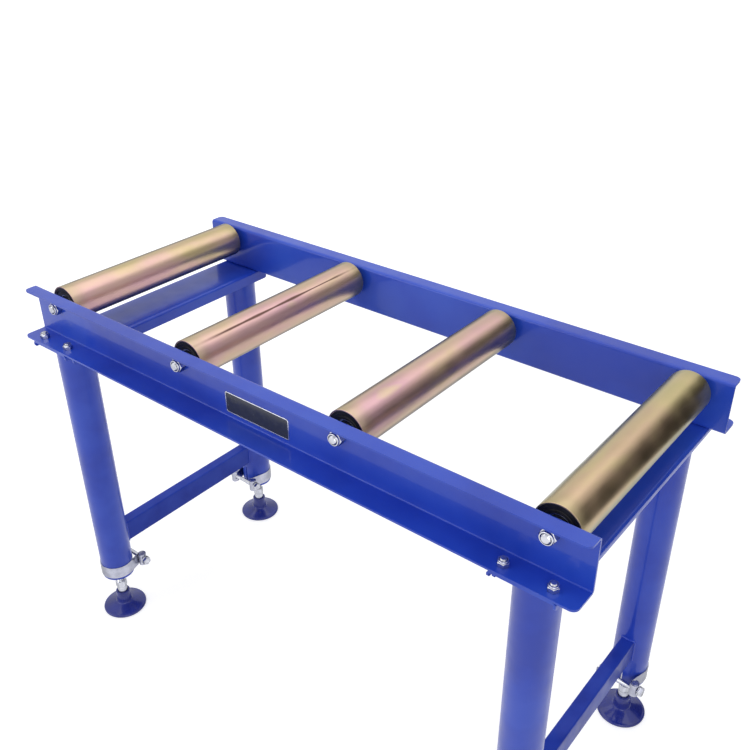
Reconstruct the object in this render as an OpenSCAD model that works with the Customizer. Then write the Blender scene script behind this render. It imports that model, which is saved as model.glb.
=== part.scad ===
// Roller stand: four free-turning rollers between two folded rails, on four telescopic legs.
// Millimetres. X runs along the rails, Y across them and Z up.
// The origin lies on the floor under the middle of the stand.
// Legs are named by their corner: f or b for front or back (-Y or +Y), l or r for -X or +X.

/* [Rails] */
// Length of each rail
rail_length = 1000; // [700:10:1400]
// Clear width between the webs of the two rails
inside_width = 378; // [300:1:600]
// Height of the rails' top edge above the floor
rail_top = 666; // [640:1:900]
// Height of a folded rail
rail_height = 78; // [70:1:110]
// Thickness of the rails' sheet
rail_sheet = 3; // [2:0.5:4]
// Width of the top flange, measured from the web's inner face
top_flange = 25; // [18:1:40]
// Width of the bottom flange, measured from the web's inner face
bottom_flange = 40; // [38:1:50]
// Outer radius of the rails' bends
rail_bend = 5; // [4.5:0.5:8]
// Radius of the top flange's free corners
top_corner = 8; // [2:0.5:12]
// Radius of the bottom flange's free corners
bottom_corner = 9; // [2:0.5:14]

/* [Rollers] */
// Outside diameter of a roller
roller_d = 60; // [50:1:70]
// Wall of a roller tube
roller_wall = 2; // [1.5:0.5:3]
// Gap between a roller's end and the web beside it
roller_gap = 10; // [6:1:16]
// Distance from a rail's end to the first roller's axis
roller_end = 55; // [45:1:90]
// Height of the rails' top edge above the rollers' axes
axle_drop = 23; // [18:1:35]
// Diameter of the fixed axles
axle_d = 12; // [8:1:14]
// Depth of an end cap's face inside the roller's end
cap_recess = 1; // [0.5:0.5:2]
// Length of an end cap along the roller
cap_length = 22; // [18:1:40]
// Outside diameter of the ball bearings
bearing_d = 32; // [30:1:36]
// Width of the ball bearings
bearing_w = 10; // [7:1:12]
// Depth of a bearing's face inside the end cap's face
bearing_recess = 2; // [1:0.5:4]
// Wall of a bearing's inner ring
inner_ring_wall = 3; // [2:0.5:4]
// Wall of the spacer between a web and a bearing
spacer_wall = 2.4; // [1:0.2:3]
// Width across the flats of an axle nut
axle_nut_flats = 19; // [17:1:24]
// Height of an axle nut's hexagon
axle_nut_h = 9; // [6:1:12]
// Height of the locking collar on an axle nut
axle_nut_collar = 3; // [1:0.5:5]

/* [Cross channels] */
// Width of a cross channel along the rails
channel_width = 86; // [82:1:110]
// Thickness of a cross channel's sheet
channel_sheet = 3; // [2:0.5:4]
// Outer radius of a cross channel's bends
channel_bend = 5; // [4.5:0.5:8]
// Depth of the outer lip below the channel's top face
outer_lip = 10.5; // [9:0.5:20]
// Depth of the inner lip below the channel's top face
inner_lip = 21; // [16:0.5:30]
// Depth that is left of the inner lip at the channel's ends
lip_end_depth = 10; // [8:0.5:14]
// Length of the cut-back at each end of the inner lip
lip_end_length = 13; // [6:1:20]
// Radius of the lips' free lower corners
lip_corner = 4; // [2:0.5:4.5]

/* [Flange bolts] */
// Diameter of the bolts that hold the rails to the cross channels
bolt_d = 8; // [6:1:10]
// Distance between the two bolts at one corner, along the rails
bolt_spacing = 62; // [60:1:64]
// Distance of these bolts outside the web's inner face
bolt_out = 25; // [22:1:27]
// Width across the flats of the bolts' heads and nuts
bolt_flats = 13; // [12:0.5:15]
// Height of a bolt head
bolt_head_h = 5.3; // [4:0.1:7]
// Height of a nut's hexagon
nut_h = 6; // [4:0.5:8]
// Height of the locking collar on a nut
nut_collar = 2.5; // [1:0.5:4]
// Length of bolt or axle that stands out of its nut
bolt_proud = 1.5; // [0.5:0.5:4]

/* [Legs] */
// Distance from a rail's end to the legs' axes
leg_end = 66; // [55:1:120]
// Distance of the legs' axes inside the webs' inner faces
leg_inset = 4; // [2:1:20]
// Outside diameter of an outer leg tube
leg_d = 58; // [54:1:60]
// Wall of an outer leg tube
leg_wall = 2.5; // [2:0.5:4]
// Height of an outer leg tube's lower end above the floor
leg_low = 88; // [80:1:120]
// Width of the slot that lets the leg tube close on the inner tube
slot_width = 3; // [2:0.5:6]
// Length of that slot
slot_length = 46; // [38:1:80]
// Width of a lower bar
bar_width = 22; // [16:1:30]
// Height of a lower bar
bar_height = 42; // [25:1:60]
// Wall of a lower bar
bar_wall = 2; // [1.5:0.5:3]
// Height of the lower bars' top faces above the floor
bar_top = 190; // [185:1:400]

/* [Clamps] */
// Height of a clamp's band
band_h = 24; // [20:1:28]
// Thickness of the band
band_t = 1.6; // [1:0.2:2.4]
// Distance from the leg tube's lower end up to the band
band_rise = 5.5; // [3:0.5:10]
// Outside diameter of the rolled loops at the band's two ends
loop_d = 15; // [13:0.5:16]
// Distance of a loop's axis from the middle of the clamp, along the bolt
loop_x = 27; // [25:0.5:30]
// Distance of a loop's axis from the leg's axis, across the bolt
loop_y = 38; // [37.5:0.5:42]
// Angle of a loop's opening, beside the band
loop_open = 60; // [46:1:89]
// Diameter of the clamp bolt
clamp_bolt_d = 8; // [6:0.5:8]
// Width across the flats of the clamp bolt's head
clamp_head_flats = 14; // [12:0.5:16]
// Height of the clamp bolt's head
clamp_head_h = 6; // [4:0.5:8]
// Diameter of the flange under the clamp bolt's head
clamp_flange_d = 17; // [16.5:0.5:20]
// Thickness of that flange
clamp_flange_t = 1.6; // [1:0.2:3]
// Length of the clamp bolt beyond the far loop
clamp_bolt_proud = 4; // [1:0.5:6]

/* [Sliding legs] */
// Length of a sliding inner tube
inner_length = 400; // [300:10:430]
// Wall of a sliding inner tube
inner_wall = 2; // [1.5:0.5:3]
// Length of inner tube that shows below the outer tube when pushed in
inner_show = 1.5; // [0.5:0.5:4]
// Thickness of the threaded plug in the inner tube's lower end
plug_h = 14; // [8:1:30]

/* [Feet] */
// Diameter of a foot's disc
pad_d = 80; // [66:1:100]
// Height of the disc's rounded rim
pad_rim = 6; // [4:0.5:8]
// Height at which the disc's cone meets the neck
pad_cone = 14; // [12:0.5:18]
// Diameter of the neck where it meets the cone
neck_low_d = 29; // [27:0.5:34]
// Diameter of the neck's top
neck_top_d = 26; // [24:0.5:27]
// Height of the neck's top above the floor
neck_top = 38; // [34:0.5:42]
// Depth of the socket in the neck
socket_depth = 20; // [10:0.5:22]
// Radius of the fillet between cone and neck
neck_fillet = 3; // [1:0.5:4]
// Thickness of the disc above its hollow underside
pad_skin = 3.5; // [2.5:0.5:4]
// Width of the ring on which the disc stands
pad_ring = 5; // [4:0.5:8]
// Diameter of the levelling stud's threaded part
stud_d = 15; // [12:0.5:16]
// Length of the stud above its hexagon
stud_length = 88; // [75:1:110]
// Diameter of the stud's round collar in the neck
collar_d = 18.5; // [17:0.5:20]
// Height of the collar above the neck
collar_show = 12; // [6:0.5:14]
// Width across the flats of the stud's hexagon
hex_flats = 18; // [17:0.5:20]
// Height of the stud's hexagon
hex_h = 13; // [6:0.5:14]

/* [Fits] */
// Radial gap between a turning or sliding piece and its seat
run_gap = 0.08; // [0.02:0.01:0.1]
// Radial gap of a bolt in its hole
hole_gap = 0.25; // [0.1:0.05:0.5]
// Gap between a piece and the bottom of its seat
seat_gap = 0.3; // [0.1:0.1:0.5]

/* [Hidden] */

$fn = 96;
// One overrun for all cuts
over = 2;

paint = "#3346B4";
gold = "#C3AC82";
zinc = "#C4C6CC";
bright = "#D9DADD";
black = "#1C1C1E";

// Rails and cross channels
rail_low = rail_top - rail_height;
channel_low = rail_low - channel_sheet;
half_width = inside_width / 2;
half_length = rail_length / 2;
channel_length = 2 * (half_width + bottom_flange);

// Rollers
axle_z = rail_top - axle_drop;
roller_pitch = (rail_length - 2 * roller_end) / 3;
roller_half = half_width - roller_gap;
roller_bore = roller_d / 2 - roller_wall;
cap_face = roller_half - cap_recess;
bearing_face = cap_face - bearing_recess;
ring_r = axle_d / 2 + run_gap + inner_ring_wall;
axle_half = half_width + rail_sheet + axle_nut_h + axle_nut_collar + bolt_proud;
axle_hole_d = axle_d + 2 * hole_gap;
// Clear radius between the cap's shoulder and the axle, as a share of the bearing's radius
shoulder_share = 0.8;

// Legs
leg_x = half_length - leg_end;
leg_y = half_width - leg_inset;
leg_bore = leg_d / 2 - leg_wall;
bar_low = bar_top - bar_height;
// Corner name, side along X, side along Y
corners = [[-1, -1], [1, -1], [-1, 1], [1, 1]];

// Clamps
band_low = leg_low + band_rise;
band_mid = band_low + band_h / 2;
band_r = (leg_d + band_t) / 2;
loop_r = (loop_d - band_t) / 2;
loop_reach = norm([loop_x, loop_y]);
// Direction in which the band leaves the tube, tangent to the tube and to the loop
leave_angle = atan2(loop_y, loop_x) - acos((band_r + loop_r) / loop_reach);
strip_length = sqrt(pow(loop_reach, 2) - pow(band_r + loop_r, 2));
trunnion_r = (loop_d - 2 * band_t) / 2;

// Sliding legs and feet
inner_low = leg_low - inner_show;
inner_r = leg_bore - run_gap;
inner_bore = inner_r - inner_wall;
collar_top = neck_top + collar_show;
stud_low = neck_top - socket_depth + seat_gap;
hex_top = collar_top + hex_h;

// Diameter across the corners of a hexagon, from its width across the flats
function corners_d(flats) = flats / cos(30);

function roller_x(i) = -half_length + roller_end + (i - 1) * roller_pitch;

// A tube along Z with its lower end at the origin
module pipe(outer, inner, length) {
    difference() {
        cylinder(r = outer, h = length);
        translate([0, 0, -over]) cylinder(r = inner, h = length + 2 * over);
    }
}

// A quarter of a bent sheet: its outer corner lies at the origin, its sheets leave along +X and +Y
module bend(outer, sheet) {
    translate([outer, outer]) difference() {
        intersection() {
            circle(r = outer);
            translate([-outer, -outer]) square(outer);
        }
        circle(r = outer - sheet);
    }
}

// What a rounded corner leaves out: the corner lies at the origin, the piece lies towards -X and -Y
module corner_cut(radius, height) {
    translate([0, 0, -over]) difference() {
        translate([-radius, -radius, 0]) cube([radius + over, radius + over, height + 2 * over]);
        translate([-radius, -radius, -over]) cylinder(r = radius, h = height + 4 * over);
    }
}

// A hexagon along Z with its lower face at the origin
module hexagon(flats, height) {
    cylinder(d = corners_d(flats), h = height, $fn = 6);
}

// A nut along Z on its seat, with a locking collar on top
module lock_nut(flats, hex_height, collar_height, bore) {
    difference() {
        union() {
            hexagon(flats, hex_height);
            cylinder(d1 = flats, d2 = flats - collar_height, h = hex_height + collar_height);
        }
        translate([0, 0, -over]) cylinder(d = bore + 2 * run_gap, h = hex_height + collar_height + 2 * over);
    }
}

// Puts a corner's piece at its leg, turned so that its +Y side faces the middle of the stand
module at_leg(corner) {
    translate([corner[0] * leg_x, corner[1] * leg_y, 0]) rotate([0, 0, corner[1] > 0 ? 180 : 0]) children();
}

// Puts a piece at each of the eight flange bolts
module at_bolts() {
    for (c = corners, side = [-1, 1])
        translate([c[0] * leg_x + side * bolt_spacing / 2, c[1] * (half_width + bolt_out), 0]) children();
}

// Puts a piece on both ends of a roller's axis, with +Z pointing outwards from the stand's middle
module at_roller_ends(i) {
    for (side = [-1, 1])
        translate([roller_x(i), 0, axle_z]) rotate([-90 * side, 0, 0]) children();
}

// Outline of a rail: the web's inner face lies on the Y axis, the flanges point to +X
module rail_outline() {
    translate([0, rail_bend]) square([rail_sheet, rail_height - 2 * rail_bend]);
    translate([rail_bend, 0]) square([bottom_flange - rail_bend, rail_sheet]);
    translate([rail_bend, rail_height - rail_sheet]) square([top_flange - rail_bend, rail_sheet]);
    bend(rail_bend, rail_sheet);
    translate([0, rail_height]) mirror([0, 1]) bend(rail_bend, rail_sheet);
}

// The back rail, which the front rail mirrors
module rail() {
    color(paint) difference() {
        translate([-half_length, half_width, rail_low])
            rotate([90, 0, 90]) linear_extrude(rail_length) rail_outline();
        for (side = [0, 1]) mirror([side, 0, 0]) {
            translate([half_length, half_width + bottom_flange, rail_low])
                corner_cut(bottom_corner, rail_sheet);
            translate([half_length, half_width + top_flange, rail_top - rail_sheet])
                corner_cut(top_corner, rail_sheet);
        }
        for (i = [1 : 4]) translate([roller_x(i), half_width - over, axle_z])
            rotate([-90, 0, 0]) cylinder(d = axle_hole_d, h = rail_sheet + 2 * over);
        at_bolts() translate([0, 0, rail_low - over])
            cylinder(d = bolt_d + 2 * hole_gap, h = rail_sheet + 2 * over);
    }
}

module rail_back() {
    rail();
}

module rail_front() {
    mirror([0, 1, 0]) rail();
}

// Outline of a cross channel: its top face lies on the X axis, the inner lip at -X and the outer at +X
module channel_outline() {
    translate([channel_bend - channel_width / 2, -channel_sheet])
        square([channel_width - 2 * channel_bend, channel_sheet]);
    translate([-channel_width / 2, 0]) mirror([0, 1]) bend(channel_bend, channel_sheet);
    translate([channel_width / 2, 0]) rotate(180) bend(channel_bend, channel_sheet);
    translate([-channel_width / 2, -inner_lip]) square([channel_sheet, inner_lip - channel_bend]);
    translate([channel_width / 2 - channel_sheet, -outer_lip])
        square([channel_sheet, outer_lip - channel_bend]);
}

// What is cut from the lips at the +Y end: the inner lip's step and the rounded corners
module lip_cuts() {
    translate([-channel_width / 2 - over, channel_length / 2 - lip_end_length, -inner_lip - over])
        cube([channel_sheet + 2 * over, lip_end_length + over, inner_lip - lip_end_depth + over]);
    for (lip = [[-1, lip_end_depth, 0], [-1, inner_lip, lip_end_length], [1, outer_lip, 0]])
        translate([
            lip[0] * (channel_width - channel_sheet) / 2 - channel_sheet / 2,
            channel_length / 2 - lip[2],
            -lip[1]
        ])
            rotate([90, 0, 90]) mirror([0, 1, 0]) corner_cut(lip_corner, channel_sheet);
}

// The right cross channel, which the left one mirrors
module cross_channel() {
    color(paint) difference() {
        translate([leg_x, 0, rail_low]) difference() {
            translate([0, channel_length / 2, 0])
                rotate([90, 0, 0]) linear_extrude(channel_length) channel_outline();
            lip_cuts();
            mirror([0, 1, 0]) lip_cuts();
        }
        at_bolts() translate([0, 0, channel_low - over])
            cylinder(d = bolt_d + 2 * hole_gap, h = channel_sheet + 2 * over);
    }
}

module cross_channel_right() {
    cross_channel();
}

module cross_channel_left() {
    mirror([1, 0, 0]) cross_channel();
}

// The right lower bar, a rectangular tube whose ends are cut to the legs' round
module lower_bar() {
    color(paint) difference() {
        translate([leg_x - bar_width / 2, -leg_y, bar_low]) cube([bar_width, 2 * leg_y, bar_height]);
        translate([leg_x - bar_width / 2 + bar_wall, -leg_y - over, bar_low + bar_wall])
            cube([bar_width - 2 * bar_wall, 2 * (leg_y + over), bar_height - 2 * bar_wall]);
        for (side = [-1, 1]) translate([leg_x, side * leg_y, bar_low - over])
            cylinder(d = leg_d, h = bar_height + 2 * over);
    }
}

module lower_bar_right() {
    lower_bar();
}

module lower_bar_left() {
    mirror([1, 0, 0]) lower_bar();
}

// An outer leg tube, slotted at its lower end under the clamp's bolt
module leg_tube(corner) {
    color(paint) at_leg(corner) difference() {
        translate([0, 0, leg_low]) pipe(leg_d / 2, leg_bore, channel_low - leg_low);
        translate([-slot_width / 2, 0, leg_low - over])
            cube([slot_width, leg_d, slot_length - slot_width / 2 + over]);
        translate([0, 0, leg_low + slot_length - slot_width / 2])
            rotate([-90, 0, 0]) cylinder(d = slot_width, h = leg_d);
    }
}

module leg_tube_fl() { leg_tube(corners[0]); }
module leg_tube_fr() { leg_tube(corners[1]); }
module leg_tube_bl() { leg_tube(corners[2]); }
module leg_tube_br() { leg_tube(corners[3]); }

module flange_bolts() {
    color(zinc) at_bolts() translate([0, 0, channel_low - bolt_head_h]) {
        hexagon(bolt_flats, bolt_head_h);
        cylinder(
            d = bolt_d,
            h = bolt_head_h + channel_sheet + rail_sheet + nut_h + nut_collar + bolt_proud
        );
    }
}

module flange_nuts() {
    color(bright) at_bolts() translate([0, 0, rail_low + rail_sheet])
        lock_nut(bolt_flats, nut_h, nut_collar, bolt_d);
}

// A fixed axle, held by a nut outside each web
module axle(i) {
    color(zinc) translate([roller_x(i), -axle_half, axle_z])
        rotate([-90, 0, 0]) cylinder(d = axle_d, h = 2 * axle_half);
}

module axle_1() { axle(1); }
module axle_2() { axle(2); }
module axle_3() { axle(3); }
module axle_4() { axle(4); }

module axle_nuts() {
    color(bright) for (i = [1 : 4]) at_roller_ends(i) translate([0, 0, half_width + rail_sheet])
        lock_nut(axle_nut_flats, axle_nut_h, axle_nut_collar, axle_d);
}

// Sleeves that keep each roller in the middle between the webs
module axle_spacers() {
    color(zinc) for (i = [1 : 4]) at_roller_ends(i) translate([0, 0, bearing_face])
        pipe(axle_d / 2 + run_gap + spacer_wall, axle_d / 2 + run_gap, half_width - bearing_face);
}

module bearing_inner_rings() {
    color(bright) for (i = [1 : 4]) at_roller_ends(i) translate([0, 0, bearing_face - bearing_w])
        pipe(ring_r, axle_d / 2 + run_gap, bearing_w);
}

module roller_tube(i) {
    color(gold) translate([roller_x(i), -roller_half, axle_z])
        rotate([-90, 0, 0]) pipe(roller_d / 2, roller_bore, 2 * roller_half);
}

module roller_tube_1() { roller_tube(1); }
module roller_tube_2() { roller_tube(2); }
module roller_tube_3() { roller_tube(3); }
module roller_tube_4() { roller_tube(4); }

// The moulded caps in both ends of a roller: each has a pocket for its bearing and a shoulder behind it
module roller_caps(i) {
    color(black) at_roller_ends(i) translate([0, 0, cap_face - cap_length]) difference() {
        cylinder(r = roller_bore, h = cap_length);
        translate([0, 0, cap_length - bearing_recess - bearing_w])
            cylinder(d = bearing_d, h = bearing_recess + bearing_w + over);
        translate([0, 0, -over]) cylinder(d = bearing_d * shoulder_share, h = cap_length);
    }
}

module roller_caps_1() { roller_caps(1); }
module roller_caps_2() { roller_caps(2); }
module roller_caps_3() { roller_caps(3); }
module roller_caps_4() { roller_caps(4); }

// The turning part of both bearings: the outer ring and its seal
module roller_bearings(i) {
    color(bright) at_roller_ends(i) translate([0, 0, bearing_face - bearing_w])
        pipe(bearing_d / 2, ring_r + run_gap, bearing_w);
}

module roller_bearings_1() { roller_bearings(1); }
module roller_bearings_2() { roller_bearings(2); }
module roller_bearings_3() { roller_bearings(3); }
module roller_bearings_4() { roller_bearings(4); }

// One side of the clamp's outline: most of the band, the strip that leaves the tube and the loop that
// rolls outwards from the strip
module band_side() {
    rotate(leave_angle) {
        difference() {
            circle(r = band_r + band_t / 2);
            circle(d = leg_d);
            translate([-leg_d, 0]) square([2 * leg_d, leg_d]);
        }
        translate([band_r - band_t / 2, 0]) square([band_t, strip_length]);
        translate([band_r + loop_r, strip_length]) difference() {
            circle(d = loop_d);
            circle(r = trunnion_r);
            polygon([
                [0, 0],
                [-loop_d, 0],
                loop_d * [-1, -1],
                loop_d * [-cos(loop_open), -sin(loop_open)]
            ]);
        }
    }
}

// The clamp's outline: round the tube and out to a loop on either side of the bolt
module band_outline() {
    band_side();
    mirror([1, 0]) band_side();
}

// Space for the clamp bolt through both loops and trunnions
module clamp_bore() {
    translate([-loop_x - loop_d, loop_y, band_mid])
        rotate([0, 90, 0]) cylinder(d = clamp_bolt_d + 2 * hole_gap, h = 2 * (loop_x + loop_d));
}

module clamp_band(corner) {
    color(zinc) at_leg(corner) difference() {
        translate([0, 0, band_low]) linear_extrude(band_h) band_outline();
        clamp_bore();
    }
}

module clamp_band_fl() { clamp_band(corners[0]); }
module clamp_band_fr() { clamp_band(corners[1]); }
module clamp_band_bl() { clamp_band(corners[2]); }
module clamp_band_br() { clamp_band(corners[3]); }

// The clamp bolts, each with its flanged head against the loop on the +X side
module clamp_bolts() {
    color(bright) for (c = corners)
        translate([c[0] * leg_x + loop_x + loop_d / 2, c[1] * (leg_y - loop_y), band_mid])
            rotate([0, 90, 0]) {
                cylinder(d = clamp_flange_d, h = clamp_flange_t);
                hexagon(clamp_head_flats, clamp_flange_t + clamp_head_h);
                translate([0, 0, -2 * loop_x - loop_d - clamp_bolt_proud])
                    cylinder(
                        d = clamp_bolt_d,
                        h = 2 * loop_x + loop_d + clamp_bolt_proud + clamp_flange_t
                    );
            }
}

// The round bars inside the loops, through which the clamp bolt passes
module clamp_trunnions() {
    color(zinc) for (c = corners, side = [-1, 1]) at_leg(c) difference() {
        translate([side * loop_x, loop_y, band_low]) cylinder(r = trunnion_r, h = band_h);
        clamp_bore();
    }
}

module inner_tube(corner) {
    color(zinc) at_leg(corner) translate([0, 0, inner_low]) pipe(inner_r, inner_bore, inner_length);
}

module inner_tube_fl() { inner_tube(corners[0]); }
module inner_tube_fr() { inner_tube(corners[1]); }
module inner_tube_bl() { inner_tube(corners[2]); }
module inner_tube_br() { inner_tube(corners[3]); }

// The plug in the inner tube's lower end, which takes the stud's thread
module leg_plug(corner) {
    color(zinc) at_leg(corner) translate([0, 0, inner_low]) pipe(inner_bore, stud_d / 2 + run_gap, plug_h);
}

module leg_plug_fl() { leg_plug(corners[0]); }
module leg_plug_fr() { leg_plug(corners[1]); }
module leg_plug_bl() { leg_plug(corners[2]); }
module leg_plug_br() { leg_plug(corners[3]); }

// Half of the foot's section: a flat cone with a rounded rim, a filleted neck and a hollow underside
module pad_section() {
    rim = pad_rim / 2;
    rim_x = pad_d / 2 - rim;
    ring_inner = rim_x - pad_ring;
    hollow_top = pad_cone - pad_skin - rim;
    foot = [neck_low_d / 2, pad_cone];
    cone_way = ([rim_x, pad_rim] - foot) / norm([rim_x, pad_rim] - foot);
    neck_way = ([neck_top_d / 2, neck_top] - foot) / norm([neck_top_d / 2, neck_top] - foot);
    half_angle = acos(cone_way * neck_way) / 2;
    fillet_centre = foot + (cone_way + neck_way) / norm(cone_way + neck_way) * neck_fillet / sin(half_angle);
    fillet_reach = neck_fillet / tan(half_angle);
    difference() {
        union() {
            polygon([
                [0, 0],
                [rim_x, 0],
                [rim_x, pad_rim],
                foot + cone_way * fillet_reach,
                fillet_centre,
                foot + neck_way * fillet_reach,
                [neck_top_d / 2, neck_top],
                [0, neck_top]
            ]);
            translate([rim_x, rim]) circle(r = rim);
        }
        translate(fillet_centre) circle(r = neck_fillet);
        translate([0, neck_top - socket_depth]) square([collar_d / 2 + run_gap, socket_depth + over]);
        polygon([
            [0, -over],
            [ring_inner, -over],
            [ring_inner, 0],
            [neck_low_d / 2, hollow_top],
            [0, hollow_top]
        ]);
    }
}

module foot_pad(corner) {
    color(paint) at_leg(corner) rotate_extrude() pad_section();
}

module foot_pad_fl() { foot_pad(corners[0]); }
module foot_pad_fr() { foot_pad(corners[1]); }
module foot_pad_bl() { foot_pad(corners[2]); }
module foot_pad_br() { foot_pad(corners[3]); }

// The levelling stud: a round collar in the foot's neck, a hexagon for the spanner and the threaded part
module level_stud(corner) {
    color(bright) at_leg(corner) {
        translate([0, 0, stud_low]) cylinder(d = collar_d, h = collar_top - stud_low);
        translate([0, 0, collar_top]) intersection() {
            hexagon(hex_flats, hex_h);
            cylinder(d1 = collar_d, d2 = collar_d + 2 * hex_h, h = hex_h);
        }
        translate([0, 0, hex_top]) cylinder(d = stud_d, h = stud_length);
    }
}

module level_stud_fl() { level_stud(corners[0]); }
module level_stud_fr() { level_stud(corners[1]); }
module level_stud_bl() { level_stud(corners[2]); }
module level_stud_br() { level_stud(corners[3]); }

rail_front();
rail_back();
cross_channel_left();
cross_channel_right();
lower_bar_left();
lower_bar_right();
leg_tube_fl();
leg_tube_fr();
leg_tube_bl();
leg_tube_br();
flange_bolts();
flange_nuts();
axle_1();
axle_2();
axle_3();
axle_4();
axle_nuts();
axle_spacers();
bearing_inner_rings();
roller_tube_1();
roller_tube_2();
roller_tube_3();
roller_tube_4();
roller_caps_1();
roller_caps_2();
roller_caps_3();
roller_caps_4();
roller_bearings_1();
roller_bearings_2();
roller_bearings_3();
roller_bearings_4();
clamp_band_fl();
clamp_band_fr();
clamp_band_bl();
clamp_band_br();
clamp_bolts();
clamp_trunnions();
inner_tube_fl();
inner_tube_fr();
inner_tube_bl();
inner_tube_br();
leg_plug_fl();
leg_plug_fr();
leg_plug_bl();
leg_plug_br();
foot_pad_fl();
foot_pad_fr();
foot_pad_bl();
foot_pad_br();
level_stud_fl();
level_stud_fr();
level_stud_bl();
level_stud_br();
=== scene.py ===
"""Looks of a roller stand.

Two folded rails in powder coat carry four plated rollers and stand on four telescopic legs.
"""

import logging
import math
from dataclasses import dataclass, field
from enum import Enum, IntEnum

import bmesh
import bpy
import numpy as np
from mathutils import Matrix


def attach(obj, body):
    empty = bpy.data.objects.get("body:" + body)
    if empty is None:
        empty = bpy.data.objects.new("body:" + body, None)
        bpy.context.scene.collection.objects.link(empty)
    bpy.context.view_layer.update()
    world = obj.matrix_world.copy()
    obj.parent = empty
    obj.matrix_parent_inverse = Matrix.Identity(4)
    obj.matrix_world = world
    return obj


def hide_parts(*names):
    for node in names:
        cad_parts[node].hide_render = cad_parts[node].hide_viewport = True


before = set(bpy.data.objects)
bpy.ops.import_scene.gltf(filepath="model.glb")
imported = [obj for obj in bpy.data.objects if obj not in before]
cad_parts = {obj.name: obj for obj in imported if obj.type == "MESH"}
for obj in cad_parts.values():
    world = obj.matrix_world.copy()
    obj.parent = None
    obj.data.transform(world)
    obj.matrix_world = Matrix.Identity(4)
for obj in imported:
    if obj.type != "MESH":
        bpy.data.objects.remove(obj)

MM = 0.001
TURN = 2 * math.pi
LOG = logging.getLogger("roller_stand")

Vector3 = tuple[float, float, float]
Inputs = dict[str | int, object]
Tree = bpy.types.NodeTree
Socket = bpy.types.NodeSocket
Profile = np.ndarray | list[tuple[float, float]]


class Slot(Enum):
    """The record's material slots, handed to the new pieces, which don't use them."""

    FRAME_PAINT = "blue_paint"
    FOOT_PAINT = "foot_paint"
    ROLLERS = "roller_passivate"
    CAPS = "cap_plastic"
    BEARINGS = "bearing_steel"
    FASTENERS = "bright_zinc"
    CLAMPS = "clamp_zinc"
    INNER_TUBES = "inner_tube_zinc"


class Side(Enum):
    """The two long sides of the stand; the value is the sign of Y."""

    FRONT = -1
    BACK = 1


@dataclass(frozen=True)
class Corner:
    """One corner of the stand, with its letters and the signs of its X and Y."""

    letters: str
    x: int
    y: int


CORNERS = (Corner("fl", -1, -1), Corner("fr", 1, -1), Corner("bl", -1, 1), Corner("br", 1, 1))
# Start angle in degrees, and the signs of both directions, for the rounded corners of an outline.
QUARTERS = ((0, 1, 1), (90, -1, 1), (180, -1, -1), (270, 1, -1))


class Columns(IntEnum):
    """How many columns a turned piece has round its axis, by its kind."""

    TRUNNION = 48
    FASTENER = 72
    CAP = 96
    FOOT = 128
    ROLLER = 144


# ---------------------------------------------------------------- colours and nodes


def linear(colour: str) -> tuple[float, float, float, float]:
    """Turns an sRGB hex colour to linear light.

    Args:
        colour: Six hexadecimal digits, without a leading sign.

    Returns:
        Red, green, blue and alpha, with alpha 1.
    """
    parts = [int(colour[i : i + 2], 16) / 255 for i in (0, 2, 4)]
    return (*(c / 12.92 if c <= 0.04045 else ((c + 0.055) / 1.055) ** 2.4 for c in parts), 1.0)


def add_node(
    tree: Tree,
    kind: str,
    inputs: Inputs | None = None,
    stops: list[tuple[float, str]] | None = None,
    **settings: object,
) -> bpy.types.Node:
    """Adds a node with its settings, its input values or links, and a ramp's stops.

    Args:
        tree: The node tree that gets the node.
        kind: The node's type name.
        inputs: Values or output sockets by input name or number.
        stops: Places and hex colours of a colour ramp.
        **settings: Properties of the node.

    Returns:
        The new node.
    """
    node = tree.nodes.new(kind)
    for name, value in settings.items():
        setattr(node, name, value)
    for name, value in (inputs or {}).items():
        if isinstance(value, Socket):
            tree.links.new(value, node.inputs[name])
        else:
            node.inputs[name].default_value = value
    if stops:
        elements = node.color_ramp.elements
        elements.remove(elements[1])
        elements[0].position, elements[0].color = stops[0][0], linear(stops[0][1])
        for place, colour in stops[1:]:
            elements.new(place).color = linear(colour)
    return node


# ---------------------------------------------------------------- finishes

# Places of a Mix node's two colour inputs and of its colour output.
COLOUR_A, COLOUR_B, COLOUR_OUT = 6, 7, 2


def per_mm(size: float) -> float:
    """Gives the scale, for coordinates in metres, of a pattern so many millimetres wide."""
    return 1 / (size * MM)


def clouds(tree: Tree, place: Socket, size: float, stops: list[tuple[float, str]], detail: float) -> Socket:
    """Adds colours that run into each other in soft blotches.

    Args:
        tree: The material's node tree.
        place: Coordinates in metres.
        size: Width of a blotch in millimetres.
        stops: Place in the noise and hex colour of each tone.
        detail: Levels of finer noise in the blotches.

    Returns:
        The colour.
    """
    inputs = {"Vector": place, "Scale": per_mm(size), "Detail": detail}
    noise = add_node(tree, "ShaderNodeTexNoise", inputs).outputs["Fac"]
    return add_node(tree, "ShaderNodeValToRGB", {"Fac": noise}, stops).outputs["Color"]


def drift(tree: Tree, place: Socket, size: float, low: float, high: float, detail: float = 2.0) -> Socket:
    """Adds a value that changes softly from place to place.

    Noise keeps to the middle of its range, so its part from 0.3 to 0.7 is spread over the values.

    Args:
        tree: The material's node tree.
        place: Coordinates in metres.
        size: Width of a blotch in millimetres.
        low: The lowest value.
        high: The highest value.
        detail: Levels of finer noise in the blotches.

    Returns:
        The value.
    """
    inputs = {"Vector": place, "Scale": per_mm(size), "Detail": detail}
    noise = add_node(tree, "ShaderNodeTexNoise", inputs).outputs["Fac"]
    inputs = {"Value": noise, "From Min": 0.3, "From Max": 0.7, "To Min": low, "To Max": high}
    return add_node(tree, "ShaderNodeMapRange", inputs).outputs["Result"]


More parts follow.
